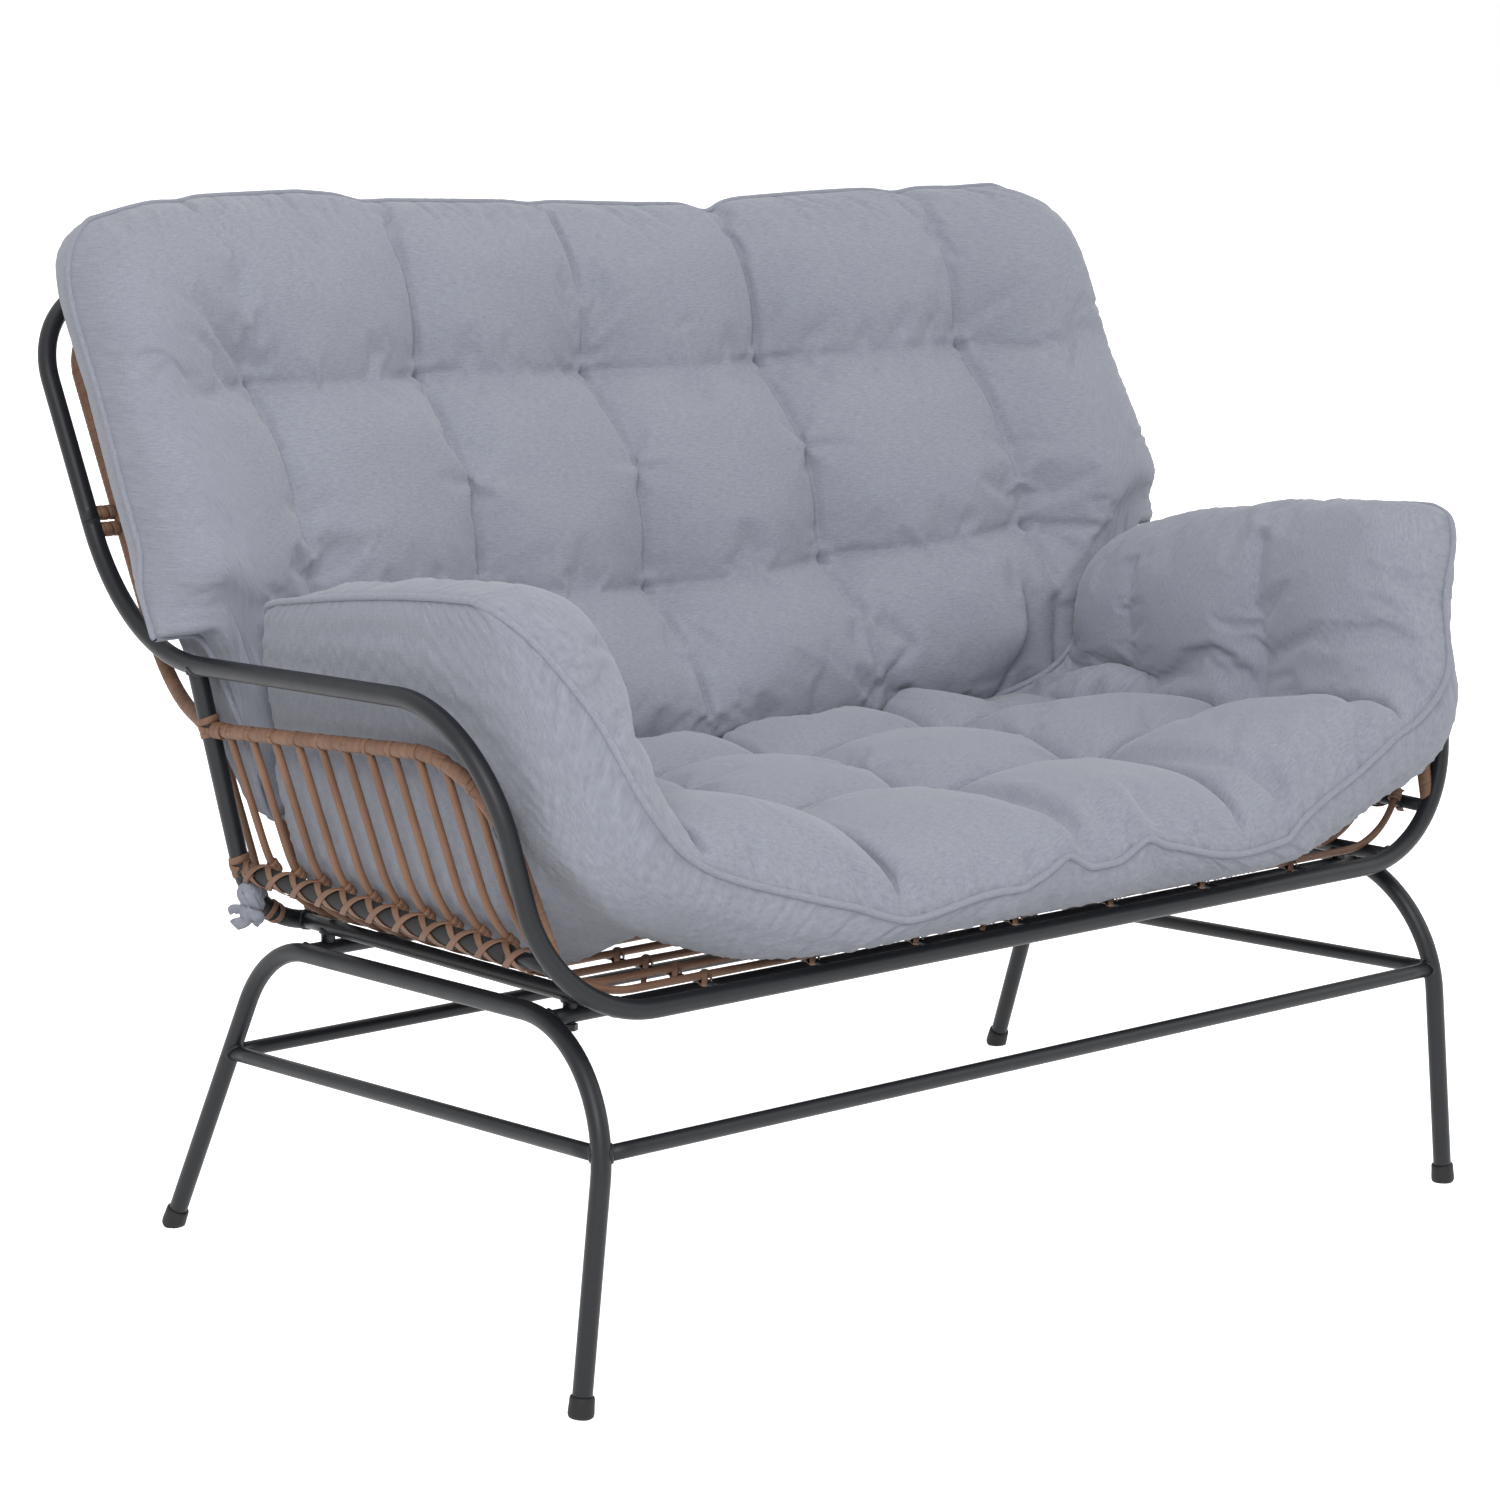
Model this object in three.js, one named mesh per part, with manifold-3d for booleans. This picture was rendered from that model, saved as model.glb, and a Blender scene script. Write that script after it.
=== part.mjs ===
// A two-seat garden sofa: a bent steel shell laced with rattan strands, on two leg loops, with a
// tufted back cushion and a seat cushion whose wings fold up over the arms.
// Millimetres, +Z up, +X to the sitter's left, the front towards -Y.
import * as THREE from "three";
import { mergeVertices } from "three/addons/utils/BufferGeometryUtils.js";
import Module from "manifold-3d";

const wasm = await Module();
wasm.setup();

// Clearances
const weldGap = 0.3; // between two pieces that touch
const softGap = 0.6; // between a cushion and what it lies on
const overrun = 40; // how far a cutting tool runs past what it cuts
const rodGap = 2 * weldGap; // between a strand and a rail or rod that it only passes

// Tubes, rails and strands
const frameRadius = 8;
const railRadius = 6.5;
const lashedRadius = 6;
const wrappedRadius = 6;
const strandRadius = 3.3;
const rodRadius = 2;
const tubeWall = 1.4;

// Seat loop: front rail, both arms and the feet of the back uprights
const frontRailY = -283;
const frontRailZ = 302;
const armX = 526; // half the width of the shell: what stands across it is set off from here
const frontCornerInset = 36;
const frontCornerX = armX - frontCornerInset;
const armFrontOutset = 4;
const armFrontX = armX + armFrontOutset;
const armFrontY = -243;
const armFrontZ = 544;
const backCornerY = 278;
const backCornerZ = 515;
const frontCornerRadius = 112;
const armCornerRadius = 119;
const backCornerRadius = 183;

// Back loop: both uprights and the top rail
const seamZ = 622;
const topRailZ = 814;
const topRailY = 439;
const topCornerRadius = 87;
const innerRailInset = 29;
const spigotHalfLength = 30;
const stubOffset = 7.5;

// Rear hoop: two posts and the rear bottom rail
const hoopY = 168;
const hoopBottomZ = 292;
const hoopCornerInset = 50;
const hoopCornerX = armX - hoopCornerInset;
const hoopCornerRadius = 71;

// Side rails of the shell
const sideRailInset = 97;
const sideRailX = armX - sideRailInset;
const lashedRailZ = 344;
const armRailRearZ = 466;
const armRailFrontY = -218;
const armRailFrontZ = 500;
const armRailInset = 17;
const armRailCornerRadius = 119;
const sideRailCornerRadius = 120;
const armStubZ = 449;

// Rattan strands of the arms and the seat
const strandCount = 11;
const strandTopRearY = 139;
const strandTopFrontY = -201;
const strandSeatRearY = 124;
const strandSeatFrontY = -256;
const strandBendRadius = 100;
const crossRodCount = 7;
const crossRodMargin = 102; // from the last rod to the side bottom rail
const crossRodPitch = (2 * (sideRailX - crossRodMargin)) / (crossRodCount - 1);

// Rattan strands of the back
const backStrandCount = 25;
const backStrandMargin = 67.6; // from the last strand to the upright
const backStrandPitch = (2 * (armX - backStrandMargin)) / (backStrandCount - 1);
const backRodHeights = [540, 700];

// Base: two leg loops, four stretchers and two cross members
const footInset = 40;
const footX = armX - footInset;
const footFrontY = -305.6;
const footRearY = 302;
const legTopFrontZ = 296.6;
const legTopRearZ = 272.8;
const legTopRearY = 181.6;
const legSplay = 54; // how far each loop leans inwards over splayHeight
const splayHeight = 485;
const legFrontRadius = 110;
const legRearRadius = 97;
const legEndZ = 8;
const frontStretcherZ = 202.5;
const rearStretcherZ = 170;
const frontCrossY = -218;
const rearCrossY = 128;

// Feet and bolts
const capRadius = 10;
const capHeight = 17;
const bossRadius = 6;
const boltRadius = 3;
const boltHeadRadius = 6;
const boltHeadHeight = 5;
const boltTipBelowTop = 2;
const floorBlockSide = 4 * overrun; // a block below the floor that trims the caps flat

// Seat cushion: a U of middle, inner and outer faces from one wing to the other.
// Across shares follow wingEdgeX; height shares run from a face's height at the middle to wingEdgeZ.
const seatFrontY = -334;
const seatRearY = 156;
const seatMidZ = 368;
const seatTopZ = 446;
const seatTuftDepth = 34;
const seatTuftRows = [-140, 45];
const seatSideDip = 60; // how much lower the seat is towards the rear beside the wings
const seatDipInset = 311;
const seatDipStart = armX - seatDipInset;
const seatDipBlend = 85;
const wingEdgeInset = 2;
const wingEdgeX = armX - wingEdgeInset;
const wingEdgeZ = 622;
const wingRearDrop = 62; // how much lower the wing is at its rear end
const wingRearDrawIn = 24; // how far it comes in there, so that it stays inside the arm
const wingDropPower = 1.4;
const wingFrontY = -278;
const wingRearY = 127;
const wingCornerRadius = 45;
const wingStartInset = 210;
const wingStartX = armX - wingStartInset;
const wingStartBlend = 100;
const seatEdgePowers = { side: 20, low: 6, high: 12 };
const middleOutlineShares = [
  [0, 0],
  [0.19, -0.01],
  [0.36, -0.04],
  [0.57, 0.07],
  [0.76, 0.23],
  [0.84, 0.42],
  [0.89, 0.68],
  [0.95, 0.87],
  [1, 1],
];
const innerOutlineShares = [
  [0, -0.21],
  [0.19, -0.21],
  [0.37, -0.18],
  [0.57, 0.03],
  [0.76, 0.14],
  [0.78, 0.37],
  [0.795, 0.64],
  [0.83, 0.91],
  [0.88, 1.12],
];
const underCurlRise = 34; // how far the underside has left the strands where its curl ends
const underCurlShares = [
  [0, 0],
  [0.27, 0],
  [0.46, 0.045],
  [0.6, 0.3],
  [0.72, 1],
];
const outerOutlineShares = [
  [0.85, 0.22],
  [0.92, 0.36],
  [0.94, 0.52],
  [0.98, 0.76],
  [1.01, 0.94],
];

// Back cushion
const backOverhang = 32; // how far the back cushion reaches past the shell on each side
const backHalfWidth = armX + backOverhang;
const backBottomZ = 398;
const backEarZ = 537; // underside of the two ears that lie over the arms
const backEarInset = 10;
const backEarX = armX - backEarInset;
const backEarBlend = 70;
const backTopRise = 64; // from the top rail to the cushion's top edge
const backTopZ = topRailZ + backTopRise;
const backTuftZ = 726;
const backLowTuftZ = 540;
const seatContactY = seatRearY + softGap; // where the seat cushion's rear presses into the front face
const seatContactZ = 418;
const wingContactY = 136; // and where the wings' rear ends do
const wingContactZ = 556;
const wingContactInset = 181;
const wingContactX = armX - wingContactInset;
const contactBlend = 50;
const backPuff = 56;
const backTuftThickness = 20;
const backSideForward = 132;
const backRimInset = 24; // from the flat rear to the rim at the middle
const backRimShare = 0.78; // how much of the sides' forward bend the rim follows
const backRearFill = 3.6; // how far the rear face swells, so that it lies on the top rail
const backSideRearShare = 0.55; // how much of that bend the rear face follows
const backCornerShare = 0.16; // how far the upper corners draw in
const backCornerPower = 8;
const backEdgePowers = { side: 24, low: 20, high: 6 };

// Tufts and ties
const tuftOuterInset = 122;
const tuftOuterColumn = armX - tuftOuterInset;
const tuftColumnShare = 0.4827; // of the way out to the outer column
const tuftColumnPitch = tuftColumnShare * tuftOuterColumn;
const tuftSpread = 40;
const puffSpread = 63; // how far from a channel a puff gets to its full height
const channelShare = 0.62; // depth of a channel beside that of a tuft
const tieRingRadius = 3.5;
const tieDrop = 34;
const tieZ = 322;
const tieTailWidth = 16;
const tieTailThickness = 4;

// Counts of facets
const frameSides = 12;
const railSides = 10;
const strandSides = 6;
const bendSteps = 8;
const longBendSteps = 9;
const cushionColumnCells = [6, 5, 5, 5, 5, 6];
const cushionRowCells = [6, 6, 6];
const halvings = 20;

const steel = new THREE.MeshStandardMaterial({ color: 0x2f3336, roughness: 0.55, metalness: 0.6 });
const plastic = new THREE.MeshStandardMaterial({ color: 0x101112, roughness: 0.6, metalness: 0 });
const rattan = new THREE.MeshStandardMaterial({ color: 0x9a6b48, roughness: 0.6, metalness: 0 });
const fabric = new THREE.MeshStandardMaterial({ color: 0x9a9dab, roughness: 0.95, metalness: 0 });

const sofa = new THREE.Group();
const shell = new THREE.Group();
const base = new THREE.Group();
const weave = new THREE.Group();
const cushions = new THREE.Group();
sofa.add(shell, base, weave, cushions);

const vec = (x, y, z) => new THREE.Vector3(x, y, z);
const sides = [
  ["left", 1],
  ["right", -1],
];

// A curve through stations that each hold a point and a tangent, so a straight run takes one step.
class StationCurve extends THREE.Curve {
  constructor(stations) {
    super();
    this.stations = stations;
  }
  between(t, key) {
    const last = this.stations.length - 1;
    const place = t * last;
    const i = Math.min(Math.floor(place), last - 1);
    return this.stations[i][key].clone().lerp(this.stations[i + 1][key], place - i);
  }
  getPoint(t) {
    return this.between(t, "point");
  }
  getPointAt(t) {
    return this.between(t, "point");
  }
  getTangent(t) {
    return this.between(t, "tangent").normalize();
  }
  getTangentAt(t) {
    return this.getTangent(t);
  }
}

// Stations along a chain of corners whose inner corners are rounded to the given radii.
function bentStations(corners, radii, steps) {
  const first = corners[1].clone().sub(corners[0]).normalize();
  const stations = [{ point: corners[0].clone(), tangent: first }];
  for (let i = 1; i < corners.length - 1; i++) {
    const before = corners[i].clone().sub(corners[i - 1]).normalize();
    const after = corners[i + 1].clone().sub(corners[i]).normalize();
    const turn = before.angleTo(after);
    const radius = radii[i - 1];
    const inward = after.clone().addScaledVector(before, -Math.cos(turn)).normalize();
    const centre = corners[i]
      .clone()
      .addScaledVector(before, -radius * Math.tan(turn / 2))
      .addScaledVector(inward, radius);
    for (let k = 0; k <= steps; k++) {
      const angle = (turn * k) / steps;
      const point = centre
        .clone()
        .addScaledVector(inward, -radius * Math.cos(angle))
        .addScaledVector(before, radius * Math.sin(angle));
      const tangent = before
        .clone()
        .multiplyScalar(Math.cos(angle))
        .addScaledVector(inward, Math.sin(angle));
      stations.push({ point, tangent });
    }
  }
  const end = corners.at(-1).clone();
  stations.push({ point: end, tangent: end.clone().sub(corners.at(-2)).normalize() });
  return stations;
}

// The point where a run of stations first reaches a value along one axis.
function whereReaches(stations, axis, value) {
  for (let i = 1; i < stations.length; i++) {
    const a = stations[i - 1].point;
    const b = stations[i].point;
    const share = (value - a[axis]) / (b[axis] - a[axis]);
    if (share >= 0 && share <= 1) return a.clone().lerp(b, share);
  }
  throw new Error("the tube never reaches " + axis + " " + value);
}

// A round bar of flat facets along stations.
function tube(stations, radius, facets) {
  const ring = [];
  for (let i = 0; i < facets; i++) {
    const angle = (2 * Math.PI * i) / facets;
    ring.push(new THREE.Vector2(radius * Math.cos(angle), radius * Math.sin(angle)));
  }
  return solid(
    new THREE.ExtrudeGeometry(new THREE.Shape(ring), {
      steps: stations.length - 1,
      bevelEnabled: false,
      extrudePath: new StationCurve(stations),
    }),
  );
}

const bar = (from, to, radius, facets) => tube(bentStations([from, to], [], 0), radius, facets);

// A three.js geometry as a solid that can be cut and joined, and back.
function solid(geometry) {
  const bare = new THREE.BufferGeometry();
  const flat = geometry.index ? geometry.toNonIndexed() : geometry;
  bare.setAttribute("position", flat.getAttribute("position"));
  const merged = mergeVertices(bare);
  return new wasm.Manifold(
    new wasm.Mesh({
      numProp: 3,
      vertProperties: merged.attributes.position.array,
      triVerts: new Uint32Array(merged.index.array),
    }),
  );
}

function add(group, name, piece, material) {
  const shape = piece.getMesh();
  const geometry = new THREE.BufferGeometry();
  geometry.setAttribute("position", new THREE.BufferAttribute(shape.vertProperties, shape.numProp));
  geometry.setIndex(new THREE.BufferAttribute(shape.triVerts, 1));
  geometry.computeVertexNormals();
  const mesh = new THREE.Mesh(geometry, material.clone());
  mesh.name = name;
  group.add(mesh);
}

// A tube with its stations and the fatter tool that copes its neighbours.
function member(stations, radius, facets) {
  return {
    stations,
    radius,
    body: tube(stations, radius, facets),
    tool: tube(stations, radius + weldGap, facets),
  };
}

const cope = (piece, ...members) => members.reduce((left, m) => left.subtract(m.tool), piece);

// The seat loop, from the left seam forwards over the arm, along the front rail and back
const uprightLean = (topRailY - backCornerY) / (topRailZ - backCornerZ);
const uprightY = (z) => backCornerY + uprightLean * (z - backCornerZ);
const uprightAxis = vec(0, uprightLean, 1).normalize();

function seatLoopHalf(side) {
  return [
    vec(side * armX, uprightY(seamZ), seamZ).addScaledVector(uprightAxis, -weldGap / 2),
    vec(side * armX, backCornerY, backCornerZ),
    vec(side * armFrontX, armFrontY, armFrontZ),
    vec(side * frontCornerX, frontRailY, frontRailZ),
  ];
}

const seatLoop = member(
  bentStations(
    [...seatLoopHalf(1), ...seatLoopHalf(-1).reverse()],
    [
      backCornerRadius,
      armCornerRadius,
      frontCornerRadius,
      frontCornerRadius,
      armCornerRadius,
      backCornerRadius,
    ],
    bendSteps,
  ),
  frameRadius,
  frameSides,
);

// The back loop, from the left seam over the top rail to the right seam
function backLoopHalf(side, inset) {
  const x = side * (armX - inset);
  const topInset = uprightAxis.clone().multiplyScalar(-inset);
  return [
    vec(x, uprightY(seamZ), seamZ).addScaledVector(uprightAxis, weldGap / 2),
    vec(x, topRailY, topRailZ).add(topInset),
  ];
}

function backLoop(inset, radius, facets) {
  const corner = topCornerRadius - inset;
  const corners = [...backLoopHalf(1, inset), ...backLoopHalf(-1, inset).reverse()];
  return member(bentStations(corners, [corner, corner], bendSteps), radius, facets);
}

const backFrame = backLoop(0, frameRadius, frameSides);
const innerRail = backLoop(innerRailInset, wrappedRadius, railSides);

// Each seam holds a spigot inside both tube ends
const spigotRadius = frameRadius - tubeWall - weldGap;
const seamAt = (side, along) =>
  vec(side * armX, uprightY(seamZ), seamZ).addScaledVector(uprightAxis, along);

function seamBar(side, halfLength, radius) {
  return bar(seamAt(side, -halfLength), seamAt(side, halfLength), radius, railSides);
}

let seatLoopBody = seatLoop.body;
let backFrameBody = backFrame.body;
for (const [name, side] of sides) {
  const socket = seamBar(side, spigotHalfLength + weldGap, frameRadius - tubeWall);
  seatLoopBody = seatLoopBody.subtract(socket);
  backFrameBody = backFrameBody.subtract(socket);
  add(shell, "seam_spigot_" + name, seamBar(side, spigotHalfLength, spigotRadius), steel);
}
add(shell, "seat_frame_tube", seatLoopBody, steel);
add(shell, "back_frame_tube", backFrameBody, steel);
add(shell, "back_inner_rail", innerRail.body, rattan);

// The rear hoop stands between the arms behind the seat
const armPointRear = whereReaches(seatLoop.stations, "y", hoopY);
const hoop = member(
  bentStations(
    [
      vec(armX, hoopY, armPointRear.z),
      vec(hoopCornerX, hoopY, hoopBottomZ),
      vec(-hoopCornerX, hoopY, hoopBottomZ),
      vec(-armX, hoopY, armPointRear.z),
    ],
    [hoopCornerRadius, hoopCornerRadius],
    bendSteps,
  ),
  frameRadius,
  frameSides,
);
add(shell, "rear_hoop", cope(hoop.body, seatLoop), steel);

// The leg loops lean inwards in one flat plane each
const legX = (z) => footX - (legSplay * z) / splayHeight;

function legLoop(side) {
  const rearEndY = footRearY + ((legTopRearY - footRearY) * legEndZ) / legTopRearZ;
  const at = (y, z) => vec(side * legX(z), y, z);
  const corners = [
    at(footFrontY, legEndZ),
    at(footFrontY, legTopFrontZ),
    at(legTopRearY, legTopRearZ),
    at(rearEndY, legEndZ),
  ];
  const stations = bentStations(corners, [legFrontRadius, legRearRadius], longBendSteps);
  return member(stations, frameRadius, frameSides);
}

const legs = sides.map(([, side]) => legLoop(side));
const legStations = legs[0].stations;
const frontJoint = whereReaches(legStations, "z", frontStretcherZ);
const rearJoint = whereReaches([...legStations].reverse(), "z", rearStretcherZ);
const frontCross = whereReaches(legStations, "y", frontCrossY);
const rearCross = whereReaches(legStations, "y", rearCrossY);
const mirrored = (p, side) => vec(side * p.x, p.y, p.z);

function acrossBar(point, radius) {
  return member(bentStations([mirrored(point, 1), mirrored(point, -1)], [], 0), radius, railSides);
}

const frontStretcher = acrossBar(frontJoint, railRadius);
const rearStretcher = acrossBar(rearJoint, railRadius);
const crossMembers = [
  ["front", acrossBar(frontCross, railRadius), frontCrossY],
  ["rear", acrossBar(rearCross, railRadius), rearCrossY],
];
add(base, "front_stretcher", cope(frontStretcher.body, ...legs), steel);
add(base, "rear_stretcher", cope(rearStretcher.body, ...legs), steel);

// Side bottom rails, with the bosses that stand on the cross members
const sideRearEnd = whereReaches(hoop.stations, "x", sideRailX);
const armStations = 2 * bendSteps; // the stations of the two bends behind the front corner
const frontHalf = seatLoop.stations.slice(armStations);
const farHalf = [...seatLoop.stations].reverse().slice(armStations);
const sideFrontEnd = whereReaches(frontHalf, "x", sideRailX);
const sideRailZ = (y) => {
  const share = (y - sideRearEnd.y) / (sideFrontEnd.y - sideRearEnd.y);
  return sideRearEnd.z + share * (sideFrontEnd.z - sideRearEnd.z);
};
const sideRail = (side) =>
  bar(mirrored(sideRearEnd, side), mirrored(sideFrontEnd, side), railRadius, railSides);

function boltHole(side, y) {
  const top = sideRailZ(y) + overrun;
  const low = vec(side * sideRailX, y, legTopRearZ - overrun);
  return bar(low, vec(side * sideRailX, y, top), boltRadius + weldGap, railSides);
}

for (const [name, side] of sides) {
  let rail = sideRail(side);
  for (const [, cross, y] of crossMembers) {
    const foot = vec(side * sideRailX, y, cross.stations[0].point.z);
    rail = rail.add(bar(foot, vec(side * sideRailX, y, sideRailZ(y)), bossRadius, railSides));
  }
  rail = cope(rail, seatLoop, hoop, ...crossMembers.map(([, cross]) => cross));
  for (const [, , y] of crossMembers) rail = rail.subtract(boltHole(side, y));
  add(shell, "side_bottom_rail_" + name, rail, steel);
}

for (const [name, cross, y] of crossMembers) {
  let body = cope(cross.body, ...legs);
  for (const [, side] of sides) body = body.subtract(boltHole(side, y));
  add(base, name + "_cross_member", body, steel);
}

// A bolt comes up through each cross member and boss into the side rail
function bolt(side, y, crossZ) {
  const underside = crossZ - railRadius - weldGap;
  const tip = sideRailZ(y) + railRadius - boltTipBelowTop;
  const x = side * sideRailX;
  const shank = bar(vec(x, y, underside - boltHeadHeight), vec(x, y, tip), boltRadius, railSides);
  const head = bar(
    vec(x, y, underside - boltHeadHeight),
    vec(x, y, underside),
    boltHeadRadius,
    strandSides,
  );
  return shank.add(head);
}

for (const [where, cross, y] of crossMembers)
  for (const [name, side] of sides)
    add(base, where + "_bolt_" + name, bolt(side, y, cross.stations[0].point.z), steel);

// Side stretchers and foot caps
function footCap(loop, end) {
  const last = loop.stations.length - 1;
  const station = loop.stations[end === "front" ? 0 : last];
  const towards = station.tangent.clone().multiplyScalar(end === "front" ? 1 : -1);
  const up = towards.clone().multiplyScalar((capHeight - legEndZ) / towards.z);
  const down = towards.clone().multiplyScalar(-(legEndZ + overrun) / towards.z);
  const from = station.point.clone().add(down);
  const sleeve = bar(from, station.point.clone().add(up), capRadius, frameSides);
  const socketFloor = station.point.clone().addScaledVector(towards, -weldGap);
  const socketTop = station.point.clone().addScaledVector(towards, capHeight);
  const socket = bar(socketFloor, socketTop, frameRadius + weldGap, frameSides);
  const block = new THREE.BoxGeometry(floorBlockSide, floorBlockSide, floorBlockSide);
  block.translate(station.point.x, station.point.y, -floorBlockSide / 2);
  return sleeve.subtract(socket).subtract(solid(block));
}

sides.forEach(([name, side], i) => {
  add(base, "leg_loop_" + name, legs[i].body, steel);
  const stretcher = bar(mirrored(frontJoint, side), mirrored(rearJoint, side), railRadius, railSides);
  const coped = cope(stretcher, ...legs, frontStretcher, rearStretcher);
  add(base, "side_stretcher_" + name, coped, steel);
  for (const end of ["front", "rear"])
    add(base, "foot_cap_" + end + "_" + name, footCap(legs[i], end), plastic);
});

// Lashed side rails, from the posts of the rear hoop to the front corners
const lashedRearEnd = whereReaches(hoop.stations, "z", lashedRailZ);
const lashedFrontEnd = whereReaches(frontHalf, "z", lashedRailZ);
const lashedStations = (side) =>
  bentStations([mirrored(lashedRearEnd, side), mirrored(lashedFrontEnd, side)], [], 0);
const lashedRails = sides.map(([, side]) =>
  member(lashedStations(side), lashedRadius, railSides),
);
sides.forEach(([name], i) =>
  add(shell, "lashed_side_rail_" + name, cope(lashedRails[i].body, seatLoop, hoop), steel),
);

// Arm rails run from the posts forwards and down to the lashed rails' front ends
const postAt = whereReaches(hoop.stations, "z", armRailRearZ);
function armRailStations(side) {
  const corners = [
    postAt,
    vec(armX - armRailInset, armRailFrontY, armRailFrontZ),
    lashedFrontEnd,
  ];
  return bentStations(
    corners.map((p) => mirrored(p, side)),
    [armRailCornerRadius],
    longBendSteps,
  );
}
const armRails = sides.map(([, side]) =>
  member(armRailStations(side), wrappedRadius, railSides),
);

// Back side rails run from the posts up to the seams
function backSideStations(side) {
  const seamEnd = backLoopHalf(1, innerRailInset)[0].addScaledVector(uprightAxis, -weldGap);
  const slope = (armRailFrontZ - armRailRearZ) / (hoopY - armRailFrontY);
  const cornerZ = (backCornerZ + armRailRearZ - slope * (backCornerY - hoopY)) / 2;
  const corner = vec(armX - innerRailInset, uprightY(cornerZ), cornerZ);
  return bentStations(
    [postAt, corner, seamEnd].map((p) => mirrored(p, side)),
    [sideRailCornerRadius],
    bendSteps,
  );
}
const backSides = sides.map(([, side]) =>
  member(backSideStations(side), wrappedRadius, railSides),
);

sides.forEach(([name, side], i) => {
  const armRail = cope(armRails[i].body, hoop, seatLoop, lashedRails[i]);
  add(shell, "arm_rail_" + name, armRail, rattan);
  add(shell, "back_side_rail_" + name, cope(backSides[i].body, hoop), rattan);

  // Short stubs tie each wrapped rail to the tube beside it
  for (const [where, along, rail, outer] of [
    ["upper", stubOffset, innerRail, backFrame],
    ["lower", -stubOffset, backSides[i], seatLoop],
  ]) {
    const outside = seamAt(side, along);
    const inside = outside.clone().setX(side * (armX - innerRailInset));
    const stub = bar(inside, outside, railRadius, railSides);
    add(shell, where + "_stub_" + name, cope(stub, rail, outer), rattan);
  }
  const railPoint = whereReaches([...armRails[i].stations].reverse(), "z", armStubZ);
  const tubePoint = whereReaches(
    side > 0 ? frontHalf : farHalf,
    "z",
    armStubZ,
  );
  const armStub = bar(railPoint, tubePoint, railRadius, railSides);
  add(shell, "arm_stub_" + name, cope(armStub, armRails[i], seatLoop), steel);
});

// The bend of a strand passes inside the lashed rail and over the side bottom rail.
// Both rails lie outside its circle, which gives the circle's centre in the X-Z plane.
const lashedX = (y) => {
  const share = (y - lashedRearEnd.y) / (lashedFrontEnd.y - lashedRearEnd.y);
  return lashedRearEnd.x + share * (lashedFrontEnd.x - lashedRearEnd.x);
};

function strandBendCentre(y) {
  const far = strandBendRadius + strandRadius + rodGap;
  const a = new THREE.Vector2(lashedX(y), lashedRailZ);
  const b = new THREE.Vector2(sideRailX, sideRailZ(y));
  const ra = far + lashedRadius;
  const rb = far + railRadius;
  const span = b.clone().sub(a);
  const d = span.length();
  const along = (ra * ra - rb * rb + d * d) / (2 * d);
  const off = Math.sqrt(ra * ra - along * along);
  const unit = span.divideScalar(d);
  return new THREE.Vector2(
    a.x + unit.x * along + unit.y * off,
    a.y + unit.y * along - unit.x * off,
  );
}

const strandShare = (i) => i / (strandCount - 1);
const strandSeatY = (i) => THREE.MathUtils.lerp(strandSeatRearY, strandSeatFrontY, strandShare(i));
const strandTopY = (i) => THREE.MathUtils.lerp(strandTopRearY, strandTopFrontY, strandShare(i));
const strandSeatZ = (i) => strandBendCentre(strandSeatY(i)).y - strandBendRadius;

// Half a strand: down from the arm rail, round the bend and flat to the middle of the seat.
function halfStrand(i) {
  const seatY = strandSeatY(i);
  const centre = strandBendCentre(seatY);
  const top = whereReaches(armRails[0].stations, "y", strandTopY(i));
  const toTop = new THREE.Vector2(top.x, top.z).sub(centre);
  const reach = Math.acos(strandBendRadius / toTop.length());
  const start = toTop.angle() - reach;
  const stations = [];
  const lean = (z) => {
    const share = (z - centre.y + strandBendRadius) / (top.z - centre.y + strandBendRadius);
    return THREE.MathUtils.lerp(seatY, top.y, share);
  };
  stations.push(vec(top.x, top.y, top.z));
  for (let k = 0; k <= bendSteps; k++) {
    const angle = THREE.MathUtils.lerp(start, -Math.PI / 2, k / bendSteps);
    const z = centre.y + strandBendRadius * Math.sin(angle);
    stations.push(vec(centre.x + strandBendRadius * Math.cos(angle), lean(z), z));
  }
  return stations;
}

function strand(i) {
  const half = halfStrand(i);
  const points = [...half, ...half.map((p) => mirrored(p, -1)).reverse()];
  const stations = points.map((point, k) => {
    const before = points[Math.max(k - 1, 0)];
    const after = points[Math.min(k + 1, points.length - 1)];
    return { point, tangent: after.clone().sub(before).normalize() };
  });
  return cope(tube(stations, strandRadius, strandSides), ...armRails);
}

for (let i = 0; i < strandCount; i++)
  add(weave, "seat_strand_" + (i + 1), strand(i), rattan);

// Cross rods lie under the seat strands, from the front rail to the rear rail
function crossRod(x) {
  const last = strandCount - 1;
  const drop = strandRadius + rodRadius + rodGap;
  const slope = (strandSeatZ(last) - strandSeatZ(0)) / (strandSeatFrontY - strandSeatRearY);
  const z = (y) => strandSeatZ(0) - drop + slope * (y - strandSeatRearY);
  return bar(vec(x, frontRailY, z(frontRailY)), vec(x, hoopY, z(hoopY)), rodRadius, strandSides);
}

for (let i = 0; i < crossRodCount; i++) {
  const x = (i - (crossRodCount - 1) / 2) * crossRodPitch;
  add(weave, "seat_cross_rod_" + (i + 1), cope(crossRod(x), seatLoop, hoop), steel);
}

// The back strands stand between the rear bottom rail and the top inner rail
const innerTop = backLoopHalf(1, innerRailInset)[1];
const backSlope = (innerTop.y - hoopY) / (innerTop.z - hoopBottomZ);
const backStrandY = (z) => hoopY + backSlope * (z - hoopBottomZ);

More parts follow.
